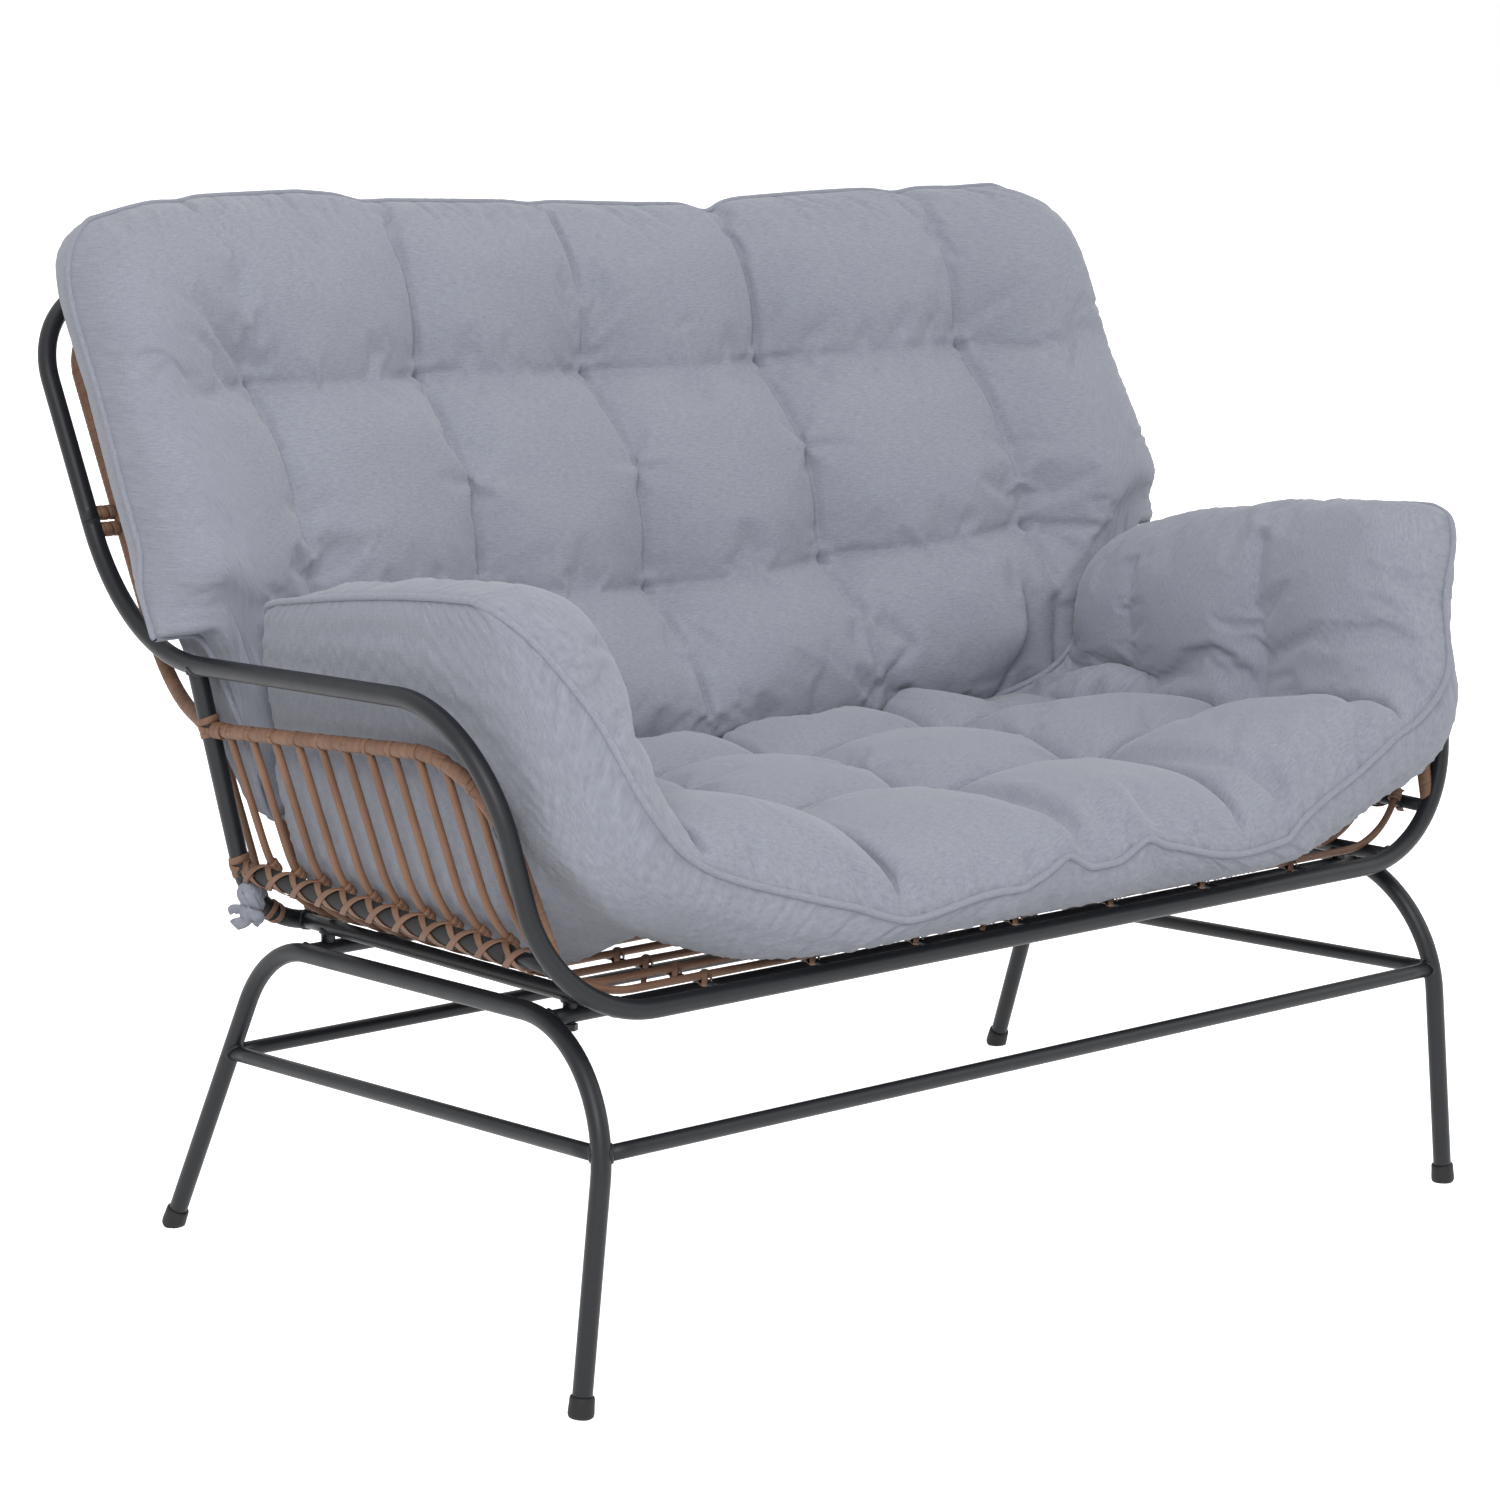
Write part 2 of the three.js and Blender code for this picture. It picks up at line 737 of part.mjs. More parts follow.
function backPanel() {
  let panel = null;
  for (let i = 0; i < backStrandCount; i++) {
    const x = (i - (backStrandCount - 1) / 2) * backStrandPitch;
    const lowZ = whereReaches(hoop.stations, "x", x).z;
    const low = vec(x, backStrandY(lowZ), lowZ);
    const one = bar(low, vec(x, innerTop.y, innerTop.z), strandRadius, strandSides);
    panel = panel ? panel.add(one) : one;
  }
  for (const z of backRodHeights) {
    const rails = z > seamZ ? innerRail.stations : backSides[0].stations;
    const end = whereReaches(z > seamZ ? rails : [...rails].reverse(), "z", z);
    const y = backStrandY(z) + rodRadius;
    panel = panel.add(bar(vec(end.x, y, z), vec(-end.x, y, z), rodRadius, strandSides));
  }
  return cope(panel, hoop, innerRail, ...backSides);
}
add(weave, "back_strand_panel", backPanel(), rattan);

// Closed cushions are two grids that share their rim
const smooth = (t) => {
  const s = THREE.MathUtils.clamp(t, 0, 1);
  return s * s * (3 - 2 * s);
};
const hump = (distance, spread) => Math.exp(-((distance / spread) ** 2));

// Grid lines that fall on every knot and crowd together beside it.
function gridLines(knots, cells) {
  const lines = [knots[0]];
  cells.forEach((count, k) => {
    for (let i = 1; i <= count; i++) {
      const eased = (1 - Math.cos((Math.PI * i) / count)) / 2;
      lines.push(THREE.MathUtils.lerp(knots[k], knots[k + 1], eased));
    }
  });
  return lines;
}

// The powers say how square the sides, the low edge and the high edge are.
function cushion(columns, rows, powers, rim, over, under) {
  const fall = (w, power) => Math.sqrt(1 - Math.abs(w) ** power);
  const positions = [];
  const point = (face, i, j) => {
    const u = columns[i];
    const v = rows[j];
    const onRim = i % (columns.length - 1) === 0 || j % (rows.length - 1) === 0;
    const closed = fall(u, powers.side) * fall(v, v < 0 ? powers.low : powers.high);
    return rim(u, v).lerp(face(u, v), onRim ? 0 : closed);
  };
  const quad = (face, i, j, flip) => {
    const a = point(face, i, j);
    const b = point(face, i + 1, j);
    const c = point(face, i + 1, j + 1);
    const d = point(face, i, j + 1);
    const turned = flip ? [a, c, b, a, d, c] : [a, b, c, a, c, d];
    for (const p of turned) positions.push(p.x, p.y, p.z);
  };
  for (let i = 0; i < columns.length - 1; i++)
    for (let j = 0; j < rows.length - 1; j++) {
      quad(over, i, j, false);
      quad(under, i, j, true);
    }
  const geometry = new THREE.BufferGeometry();
  geometry.setAttribute("position", new THREE.Float32BufferAttribute(positions, 3));
  return solid(geometry);
}

const mirroredKnots = (knots) => [...knots.map((k) => -k).reverse(), 0, ...knots];
const tuftColumns = mirroredKnots([tuftColumnPitch, tuftOuterColumn]);

// Height of a puff at a distance from its channel: steep at the channel and round on top.
const pillow = (distance) => Math.sqrt(1 - (1 - Math.min(distance / puffSpread, 1)) ** 2);
const nearest = (value, lines) => Math.min(...lines.map((line) => Math.abs(value - line)));

// How far the stitching pulls a face in: 1 at a tuft, less along a channel. Rows end at their reach.
function pulledIn(x, z, rows, rowReach) {
  const toColumn = nearest(x, tuftColumns);
  const past = smooth((Math.abs(x) - rowReach) / tuftSpread);
  const toRow = nearest(z, rows) + puffSpread * past;
  const channel = channelShare * (1 - Math.min(pillow(toColumn), pillow(toRow)));
  return Math.max(hump(Math.hypot(toColumn, toRow), tuftSpread), channel);
}

// Back cushion: u runs across, v upwards
const backFace = (z) => backStrandY(z) - (frameRadius + softGap) / uprightAxis.z;
const drawnIn = (w) => Math.sqrt(1 - backCornerShare * Math.abs(w) ** backCornerPower);
const backX = (u, v) => u * backHalfWidth * drawnIn(Math.max(v, 0));
const backLowZ = (x) =>
  THREE.MathUtils.lerp(backEarZ, backBottomZ, smooth((backEarX - Math.abs(x)) / backEarBlend));
const backHighZ = (x) =>
  THREE.MathUtils.lerp(backTuftZ, backTopZ, drawnIn(x / backHalfWidth));
const backZ = (x, v) => THREE.MathUtils.lerp(backLowZ(x), backHighZ(x), (v + 1) / 2);
const sideBend = (x) => backSideForward * (x / backHalfWidth) ** 2;
// The seat cushion's rear and its wings press the lower part of the back cushion in.
const pressedBack = (x, z, y) => {
  const beside = smooth((Math.abs(x) - wingContactX) / contactBlend);
  const contactY = THREE.MathUtils.lerp(seatContactY, wingContactY, beside);
  const contactZ = THREE.MathUtils.lerp(seatContactZ, wingContactZ, beside);
  const below = smooth((contactZ + contactBlend - z) / contactBlend);
  return THREE.MathUtils.lerp(y, Math.max(y, contactY), below);
};
const backRim = (u, v) => {
  const x = backX(u, v);
  const z = backZ(x, v);
  return vec(x, pressedBack(x, z, backFace(z) - backRimInset - backRimShare * sideBend(x)), z);
};
const backOver = (u, v) => {
  const p = backRim(u, v);
  const pull = pulledIn(p.x, p.z, [backLowTuftZ, backTuftZ], backHalfWidth);
  const front = backFace(p.z) - sideBend(p.x) - backTuftThickness - backPuff * (1 - pull);
  return p.setY(pressedBack(p.x, p.z, front));
};
const backUnder = (u, v) => {
  const p = backRim(u, v);
  return p.setY(backFace(p.z) + backRearFill - backSideRearShare * sideBend(p.x));
};

const upTo = (low, high) => (value) => (2 * (value - low)) / (high - low) - 1;
const backColumnLines = gridLines(
  mirroredKnots([tuftColumnPitch / backHalfWidth, tuftOuterColumn / backHalfWidth, 1]),
  cushionColumnCells,
);
const backRowLines = gridLines(
  [-1, ...[backLowTuftZ, backTuftZ].map(upTo(backBottomZ, backTopZ)), 1],
  cushionRowCells,
);
const backBody = cushion(
  backColumnLines,
  backRowLines,
  backEdgePowers,
  backRim,
  backOver,
  backUnder,
);
add(cushions, "back_cushion", backBody, fabric);

// Seat cushion: u runs across from wing to wing, v from front to rear
const strandSlope =
  (strandSeatZ(strandCount - 1) - strandSeatZ(0)) / (strandSeatFrontY - strandSeatRearY);
const seatUnderZ = (y) =>
  strandSeatZ(0) + strandRadius + softGap + strandSlope * (y - strandSeatRearY);

// A curve across half the cushion, from the middle to the wing's edge.
function acrossCurve(shares, middleZ, start = []) {
  const outline = shares.map(([x, z]) =>
    vec(x * wingEdgeX, 0, THREE.MathUtils.lerp(middleZ, wingEdgeZ, z)),
  );
  return new THREE.CatmullRomCurve3([...start, ...outline]);
}

const middleCurve = acrossCurve(middleOutlineShares, seatMidZ);
const innerCurve = acrossCurve(innerOutlineShares, seatTopZ);
const outerCurve = (y) => {
  const z = seatUnderZ(y);
  const curl = underCurlShares.map(([x, rise]) => vec(x * wingEdgeX, 0, z + rise * underCurlRise));
  return acrossCurve(outerOutlineShares, z, curl);
};

// The parameter at which a curve across the cushion gets to a distance from the middle.
function parameterAt(curve, x) {
  let low = 0;
  let high = 1;
  for (let k = 0; k < halvings; k++) {
    const half = (low + high) / 2;
    if (curve.getPoint(half).x < x) low = half;
    else high = half;
  }
  return low;
}

function seatPoint(curve, u, v) {
  const p = curve.getPoint(Math.abs(u));
  const wing = smooth((p.z - seatTopZ) / (wingEdgeZ - seatTopZ));
  const front = THREE.MathUtils.lerp(seatFrontY, wingFrontY, wing);
  const narrowed = smooth((p.x - wingStartX) / wingStartBlend);
  const rear = THREE.MathUtils.lerp(seatRearY, wingRearY, narrowed);
  const up = THREE.MathUtils.clamp(1 + (p.z - wingEdgeZ) / wingCornerRadius, 0, 1);
  const rounding = wingCornerRadius * (1 - Math.sqrt(1 - up ** 2));
  const share = (v + 1) / 2;
  const lowered = wing * share ** wingDropPower;
  p.x = (p.x - wingRearDrawIn * lowered) * Math.sign(u);
  p.y = THREE.MathUtils.lerp(front + rounding, rear - rounding, share);
  p.z -= wingRearDrop * lowered;
  return p;
}
const seatRim = (u, v) => seatPoint(middleCurve, u, v);
const seatOver = (u, v) => {
  const p = seatPoint(innerCurve, u, v);
  const wing = smooth((p.z - seatTopZ) / (wingEdgeZ - seatTopZ));
  const beside = smooth((Math.abs(p.x) - seatDipStart) / seatDipBlend);
  const unrolled = p.x + Math.sign(u) * Math.max(p.z - seatTopZ, 0);
  p.z -= seatSideDip * beside * (1 - wing) * ((v + 1) / 2);
  const pull = pulledIn(unrolled, p.y, seatTuftRows, tuftOuterColumn);
  const inward = seatRim(u, v).sub(p).normalize();
  return p.addScaledVector(inward, seatTuftDepth * pull);
};
const seatUnder = (u, v) => {
  const y = seatRim(u, v).y;
  return seatPoint(outerCurve(y), u, v).setY(y);
};

const seatTufts = [tuftColumnPitch, tuftOuterColumn].map((x) => parameterAt(innerCurve, x));
const seatColumnLines = gridLines(mirroredKnots([...seatTufts, 1]), cushionColumnCells);
const seatRowLines = gridLines(
  [-1, ...seatTuftRows.map(upTo(seatFrontY, seatRearY)), 1],
  cushionRowCells,
);
const seatBody = cushion(
  seatColumnLines,
  seatRowLines,
  seatEdgePowers,
  seatRim,
  seatOver,
  seatUnder,
);
add(cushions, "seat_cushion", seatBody, fabric);

// Fabric ties knotted round the posts hold the seat cushion
const tieAt = whereReaches(hoop.stations, "z", tieZ);
const tieNext = whereReaches(hoop.stations, "z", tieZ - tieRingRadius);
function tie(side) {
  const centre = mirrored(tieAt, side);
  const axis = mirrored(tieNext, side).sub(centre).normalize();
  const reach = frameRadius + weldGap + tieRingRadius;
  const ring = new THREE.TorusGeometry(reach, tieRingRadius, strandSides, frameSides);
  ring.applyQuaternion(new THREE.Quaternion().setFromUnitVectors(vec(0, 0, 1), axis));
  ring.translate(centre.x, centre.y, centre.z);
  const tail = new THREE.BoxGeometry(tieTailWidth, tieTailThickness, tieDrop);
  const tailX = centre.x + side * (reach + tieTailWidth / 2);
  tail.translate(tailX, centre.y, centre.z - tieDrop / 2 + tieRingRadius);
  return solid(ring).add(solid(tail));
}
for (const [name, side] of sides) add(cushions, "cushion_tie_" + name, tie(side), fabric);

// The origin is under the middle of the whole sofa
sofa.updateMatrixWorld(true);
const bounds = new THREE.Box3().setFromObject(sofa, true);
const middle = bounds.getCenter(vec(0, 0, 0));
sofa.position.set(-middle.x, -middle.y, 0);

export default sofa;
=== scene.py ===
import math

import bpy
import numpy as np
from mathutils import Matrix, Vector, noise


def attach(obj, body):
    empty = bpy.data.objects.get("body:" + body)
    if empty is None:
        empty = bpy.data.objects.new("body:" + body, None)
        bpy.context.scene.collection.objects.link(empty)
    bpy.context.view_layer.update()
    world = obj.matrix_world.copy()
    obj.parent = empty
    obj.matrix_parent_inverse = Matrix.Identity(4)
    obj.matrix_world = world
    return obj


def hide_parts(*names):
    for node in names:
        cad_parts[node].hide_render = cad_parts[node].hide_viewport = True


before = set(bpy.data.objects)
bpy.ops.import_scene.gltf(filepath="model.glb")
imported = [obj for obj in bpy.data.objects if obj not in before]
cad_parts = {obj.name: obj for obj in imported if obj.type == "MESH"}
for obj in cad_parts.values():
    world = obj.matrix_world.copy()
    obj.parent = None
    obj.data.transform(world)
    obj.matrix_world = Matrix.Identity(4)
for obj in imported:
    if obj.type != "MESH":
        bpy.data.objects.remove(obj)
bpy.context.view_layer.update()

MM = 0.001
SHIFT_Y = -56.498  # the row frame's origin lies this far behind the routes' own

# Camera at the photograph's place, in metres and degrees
CAMERA_PLACE, CAMERA_DOWN, CAMERA_TURN = (-2.1654, -2.6772, 1.0711), 10.97, -38.54
LENS, SENSOR_WIDTH = 94.9, 36.0


def new_object(name, data):
    obj = bpy.data.objects.new(name, data)
    bpy.context.scene.collection.objects.link(obj)
    return obj


camera_data = bpy.data.cameras.new("camera")
camera_data.sensor_width = SENSOR_WIDTH
camera_data.lens = LENS
camera_data.clip_start = 0.05
camera = new_object("camera", camera_data)
camera.location = CAMERA_PLACE
camera.rotation_euler = (math.radians(90 - CAMERA_DOWN), 0.0, math.radians(CAMERA_TURN))
bpy.context.scene.camera = camera
bpy.context.scene.view_settings.view_transform = "Standard"

# Sizes of the frame, the same as the solids'
WELD_GAP = 0.3
FRAME_R = 8.0
RAIL_R = 6.5
LASHED_R = 6.0
STRAND_R = 3.3
ROD_R = 2.0
FRONT_RAIL = (-283.0, 302.0)
FRONT_CORNER_X = 490.0
ARM_X = 526.0
ARM_FRONT = (530.0, -243.0, 544.0)
BACK_CORNER = (278.0, 515.0)
SEAM_Z = 622.0
TOP_RAIL = (439.0, 814.0)
TOP_CORNER_R = 87.0
INNER_INSET = 29.0
HOOP_Y = 168.0
HOOP_Z = 292.0
HOOP_CORNER_X = 476.0
HOOP_CORNER_R = 71.0
SIDE_RAIL_X = 429.0
LASHED_Z = 344.0
ARM_RAIL_REAR_Z = 466.0
ARM_RAIL_FRONT = (509.0, -218.0, 500.0)
STRAND_BEND_R = 100.0
STRANDS = 11
BACK_STRANDS = 25
BACK_PITCH = 38.2
BACK_RODS = (540.0, 700.0)
LEG_END_Z = 8.0
LEG_FOOT_X, LEG_DRAW_IN, LEG_HEIGHT = 486, 54, 485
LEG_FRONT, LEG_REAR, LEG_REAR_FOOT_Y = (-305.6, 296.6), (181.6, 272.8), 302
LEG_CORNER_RADII = [110, 97]
STRETCHER_Z = (202.5, 170.0)  # where the front and rear stretchers meet the legs
CROSS_Y = (-218.0, 128.0)  # cross members and the bosses over them
BOSS_R, BOSS_OVERLAP = 6.0, 5.8
WELD_R, WELD_STEPS = 1.9, 32
SEAT_LOOP_RADII = [183, 119, 112]
ARM_RAIL_CORNER_R, BACK_SIDE_CORNER_R = 119, 120
STRAND_SEAT_Y, STRAND_TOP_Y = (124.0, -256.0), (139.0, -201.0)  # rear strand, front strand
SEAT_RODS, ROD_PITCH = 7, 109.0
STUB_FROM_SEAM = 7.5
ARM_STUB_Z = 449.0
TIE_Z = 322.0
BEND_STEPS = 22  # a bend has one point more than this
STEEL_SIDES, CORE_SIDES = 28, 14
# Foot cap: heights along the leg and radii
CAP_PROFILE = [(-8.2, 7.6), (-7.9, 9.2), (-6.8, 10.0), (-5.0, 10.4), (-1.0, 10.3), (3.0, 10.0),
               (7.2, 9.9), (8.4, 9.5), (8.9, 8.9), (9.0, 8.2)]


def vec(x, y, z):
    return Vector((x, y, z))


# A point of the routes in the row frame, in metres.
def row(p):
    return (p[0] * MM, (p[1] + SHIFT_Y) * MM, p[2] * MM)


# A vector, or each vector of an array, brought to length 1.
def unit(a):
    a = np.asarray(a, float)
    return a / np.linalg.norm(a, axis=-1, keepdims=True)


# Distance along a chain of points, at each of them.
def distances(p):
    return np.concatenate([[0.0], np.cumsum(np.linalg.norm(np.diff(p, axis=0), axis=1))])


def noise_at(x, y, z):
    return noise.noise(Vector((x, y, z)))


# Points along a chain of corners whose inner corners are rounded.
def bent(corners, radii):
    points = [corners[0].copy()]
    for i in range(1, len(corners) - 1):
        before = (corners[i] - corners[i - 1]).normalized()
        after = (corners[i + 1] - corners[i]).normalized()
        turn = before.angle(after)
        radius = radii[i - 1]
        inward = (after - before * math.cos(turn)).normalized()
        centre = corners[i] - before * radius * math.tan(turn / 2) + inward * radius
        for k in range(BEND_STEPS + 1):
            a = turn * k / BEND_STEPS
            points.append(centre - inward * radius * math.cos(a) + before * radius * math.sin(a))
    points.append(corners[-1].copy())
    return points


# Points no further apart than a step, on the same path.
def filled(points, step=12.0):
    out = [points[0]]
    for a, b in zip(points, points[1:]):
        n = max(1, int(math.ceil((b - a).length / step)))
        out += [a.lerp(b, k / n) for k in range(1, n + 1)]
    return out


# The place on a chain of points where one coordinate has a value.
def where(points, axis, value):
    for a, b in zip(points, points[1:]):
        if b[axis] == a[axis]:
            continue
        share = (value - a[axis]) / (b[axis] - a[axis])
        if 0 <= share <= 1:
            return a.lerp(b, share)
    raise ValueError("the route never gets there")


def mirrored(p, side):
    return vec(side * p.x, p.y, p.z)


# A route in the row frame, in metres, with a frame that doesn't twist along it.
class Route:
    def __init__(self, points, up=None):
        self.p = np.array([row(q) for q in points])
        self.t = unit(np.gradient(self.p, axis=0))
        self.s = distances(self.p)
        self.length = self.s[-1]
        self.n = np.zeros_like(self.p)
        n = np.array(up if up is not None else (0.0, 0.0, 1.0))
        if up is None and abs(self.t[0] @ n) > 0.9:
            n = np.array((1.0, 0.0, 0.0))
        for i, t in enumerate(self.t):
            if up is not None:
                n = np.array(up)
            n = unit(n - t * (t @ n))
            self.n[i] = n
        self.b = np.cross(self.t, self.n)

    # Position, tangent and the two cross directions at a distance along the route.
    def at(self, s):
        s = np.clip(s, 0.0, self.length)
        out = []
        for a in (self.p, self.t, self.n, self.b):
            out.append(np.stack([np.interp(s, self.s, a[:, k]) for k in range(3)], axis=-1))
        return out

    # Position, tangent and the direction away from the route at angles round it.
    def around(self, s, angle):
        p, t, n, b = self.at(s)
        return p, t, np.cos(angle)[:, None] * n + np.sin(angle)[:, None] * b

    # Distance along the route that is nearest to a point in metres.
    def near(self, point):
        d = np.diff(self.p, axis=0)
        to_point = np.array(point) - self.p[:-1]
        f = np.sum(to_point * d, axis=1) / np.maximum(np.sum(d * d, axis=1), 1e-12)
        f = np.clip(f, 0, 1)
        nearest = np.argmin(np.linalg.norm(to_point - d * f[:, None], axis=1))
        return self.s[nearest] + f[nearest] * np.linalg.norm(d[nearest])

    def tangent_near(self, point):
        return self.at(np.array([self.near(point)]))[1][0]


# Vertices, faces and a grain coordinate for one mesh object.
class Form:
    def __init__(self):
        self.v = []
        self.f = []
        self.g = []
        self.count = 0

    def add(self, verts, faces, grain):
        base = self.count
        self.v.append(np.asarray(verts, float).reshape(-1, 3))
        self.g.append(np.asarray(grain, float).reshape(-1, 3))
        self.f += [tuple(base + i for i in face) for face in faces]
        self.count += len(self.v[-1])

    def build(self, name, material, slot, replaced=()):
        mesh = bpy.data.meshes.new(name)
        verts = np.concatenate(self.v)
        mesh.from_pydata(verts.tolist(), [], self.f)
        grain = mesh.attributes.new("grain", "FLOAT_VECTOR", "POINT")
        grain.data.foreach_set("vector", np.concatenate(self.g).astype(np.float32).ravel())
        mesh.polygons.foreach_set("use_smooth", [True] * len(mesh.polygons))
        mesh.update()
        obj = new_object(name, mesh)
        mesh.materials.append(material)
        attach(obj, "root")
        if replaced:
            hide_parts(*replaced)
        return obj


# Faces between rings of vertices that lie one after another.
def ring_faces(rings, sides):
    faces = []
    for i in range(rings - 1):
        for j in range(sides):
            a, b = i * sides + j, i * sides + (j + 1) % sides
            faces.append((a, b, b + sides, a + sides))
    return faces


# Rings of vertices swept along points, closed by a fan at both ends.
def sweep(form, p, n, b, outline, grain_s, caps=True, scale=None):
    rings, sides = len(p), len(outline)
    k = np.ones(rings) if scale is None else np.asarray(scale)
    offset = outline[None, :, :1] * n[:, None] + outline[None, :, 1:] * b[:, None]
    verts = (p[:, None] + k[:, None, None] * offset).reshape(-1, 3)
    grain = np.zeros((rings, sides, 3))
    grain[..., 0], grain[..., 1] = grain_s[:, None], distances(outline)
    grain = grain.reshape(-1, 3)
    faces = ring_faces(rings, sides)
    if caps:
        first, last = rings * sides, rings * sides + 1
        for j in range(sides):
            following = (j + 1) % sides
            faces.append((first, following, j))
            faces.append((last, (rings - 1) * sides + j, (rings - 1) * sides + following))
        verts = np.concatenate([verts, p[[0, -1]]])
        grain = np.concatenate([grain, [[grain_s[0], 0, 0], [grain_s[-1], 0, 0]]])
    form.add(verts, faces, grain)


def circle(radius, sides):
    a = np.linspace(0, 2 * math.pi, sides, endpoint=False)
    return np.stack([radius * np.cos(a), radius * np.sin(a)], axis=1)


# A round bar along a route; waver is how much its radius comes and goes.
def round_tube(form, route, radius, sides, seed=0.0, waver=0.0):
    scale = None
    if waver:
        scale = [1 + waver * noise_at(s * 45, seed, 0.3) for s in route.s]
    sweep(form, route.p, route.n, route.b, circle(radius * MM, sides), route.s + seed, scale=scale)


# Outline of a flat strip, crowned on top, as shares of its thickness and of half its width
STRIP_OUTLINE = np.array([(0, -1), (0.72, -0.93), (1, -0.45), (1, 0.45), (0.72, 0.93), (0, 1)])


# A flat strip laid with its underside along points, facing their normals.
def strip(form, p, normal, width, thick, seed=0.0):
    t = unit(np.gradient(p, axis=0))
    n = unit(normal - t * np.sum(normal * t, axis=1)[:, None])
    outline = STRIP_OUTLINE * (thick * MM, width * MM / 2)
    sweep(form, p, n, np.cross(t, n), outline, distances(p) + seed)


# A strip wound round a route from one distance along it to another.
def wind(form, route, start, end, radius, pitch, width, thick, seed=0.0, phase=0.0):
    turns = max((end - start) / (pitch * MM), 0.3)
    k = np.linspace(0, 1, max(int(turns * 18), 6) + 1)
    s = start + (end - start) * k
    p, t, out = route.around(s, phase + 2 * math.pi * turns * k)
    wobble = np.array([noise_at(x * 30, seed, 1.7) for x in s])
    centre = p + out * (radius * MM) + t * (wobble * 0.5 * MM)[:, None]
    strip(form, centre, out, width, thick, seed)


# One full turn of strip round a route at one place, tilted by some millimetres.
def band(form, route, s, radius, width, thick, seed, tilt):
    a = np.linspace(0, 2 * math.pi, 24) + seed * 2.1
    p, t, out = route.around(s + tilt * MM * np.sin(a), a)
    strip(form, p + out * (radius * MM), out, width, thick, seed)


# A weld bead where a round bar runs into the side of a tube.
def weld(form, point, tube_dir, tube_r, bar_dir, bar_r, seed):
    t, d = unit(tube_dir), unit(bar_dir)
    e = unit(np.cross(t, d))
    up = np.cross(d, e)
    flat_d = d - t * (d @ t)
    angles = [2 * math.pi * k / WELD_STEPS for k in range(WELD_STEPS + 1)]
    ring, outs = [], []
    for a in angles:
        o = (math.cos(a) * e + math.sin(a) * up) * (bar_r + 0.2) * MM
        flat_o = o - t * (o @ t)
        aa, bb = flat_d @ flat_d, flat_d @ flat_o
        cc = flat_o @ flat_o - (tube_r * MM) ** 2
        x = (-bb + math.sqrt(max(bb * bb - aa * cc, 0.0))) / aa
        ring.append(np.array(point) + d * x + o)
        outs.append(unit(o))
    ring, outs = np.array(ring), np.array(outs)
    grow = np.array([1 + 0.22 * noise_at(seed, 5 * math.cos(a), 5 * math.sin(a)) for a in angles])
    grow[-1] = grow[0]
    side = np.cross(unit(np.gradient(ring, axis=0)), outs)
    sweep(form, ring, outs, side, circle(WELD_R * MM, 8), np.linspace(0, 0.05, len(ring)) + seed,
          scale=grow, caps=False)


# Materials
def new_material(name):
    mat = bpy.data.materials.new(name)
    mat.use_nodes = True
    return mat, mat.node_tree, mat.node_tree.nodes["Principled BSDF"]


def node(tree, kind, **values):
    made = tree.nodes.new(kind)
    for key, value in values.items():
        if hasattr(made, key):
            setattr(made, key, value)
        else:
            made.inputs[key].default_value = value
    return made


def mapped(tree, source, scale):
    mapping = tree.nodes.new("ShaderNodeMapping")
    mapping.inputs["Scale"].default_value = scale
    tree.links.new(source, mapping.inputs["Vector"])
    return mapping.outputs["Vector"]


def noise_on(tree, vector, scale, detail=2.0, rough=0.5):
    made = tree.nodes.new("ShaderNodeTexNoise")
    made.inputs["Scale"].default_value = scale
    made.inputs["Detail"].default_value = detail
    made.inputs["Roughness"].default_value = rough
    tree.links.new(vector, made.inputs["Vector"])
    return made.outputs["Fac"]


def ramp_on(tree, factor, stops):
    made = tree.nodes.new("ShaderNodeValToRGB")
    made.color_ramp.elements[0].position = stops[0][0]
    made.color_ramp.elements[0].color = (*stops[0][1], 1)
    made.color_ramp.elements[1].position = stops[-1][0]
    made.color_ramp.elements[1].color = (*stops[-1][1], 1)
    for place, colour in stops[1:-1]:
        made.color_ramp.elements.new(place).color = (*colour, 1)
    tree.links.new(factor, made.inputs["Fac"])
    return made.outputs["Color"]


def blended(tree, a, b, factor, mode="MIX"):
    made = tree.nodes.new("ShaderNodeMix")
    made.data_type = "RGBA"
    made.blend_type = mode
    for value, socket in ((a, 6), (b, 7)):
        if isinstance(value, tuple):
            made.inputs[socket].default_value = (*value, 1)
        else:
            tree.links.new(value, made.inputs[socket])
    if isinstance(factor, float):
        made.inputs[0].default_value = factor
    else:
        tree.links.new(factor, made.inputs[0])
    return made.outputs[2]


def bump_on(tree, height, strength, distance, normal=None):
    made = tree.nodes.new("ShaderNodeBump")
    made.inputs["Strength"].default_value = strength
    made.inputs["Distance"].default_value = distance
    tree.links.new(height, made.inputs["Height"])
    if normal is not None:
        tree.links.new(normal, made.inputs["Normal"])
    return made.outputs["Normal"]


# Two values, or a value and a number, put together by one operation.
def summed(tree, a, b, operation="ADD"):
    made = tree.nodes.new("ShaderNodeMath")
    made.operation = operation
    for i, value in enumerate((a, b)):
        if isinstance(value, float):
            made.inputs[i].default_value = value
        else:
            tree.links.new(value, made.inputs[i])
    return made.outputs[0]


def ranged(tree, value, low, high):
    made = tree.nodes.new("ShaderNodeMapRange")
    made.inputs["To Min"].default_value = low
    made.inputs["To Max"].default_value = high
    tree.links.new(value, made.inputs["Value"])
    return made.outputs[0]


# Even stripes along one axis of a vector, for yarns.
def stripes_on(tree, vector, direction):
    made = node(tree, "ShaderNodeTexWave", wave_type="BANDS", bands_direction=direction, Scale=1.0)
    tree.links.new(vector, made.inputs["Vector"])
    return made.outputs["Fac"]


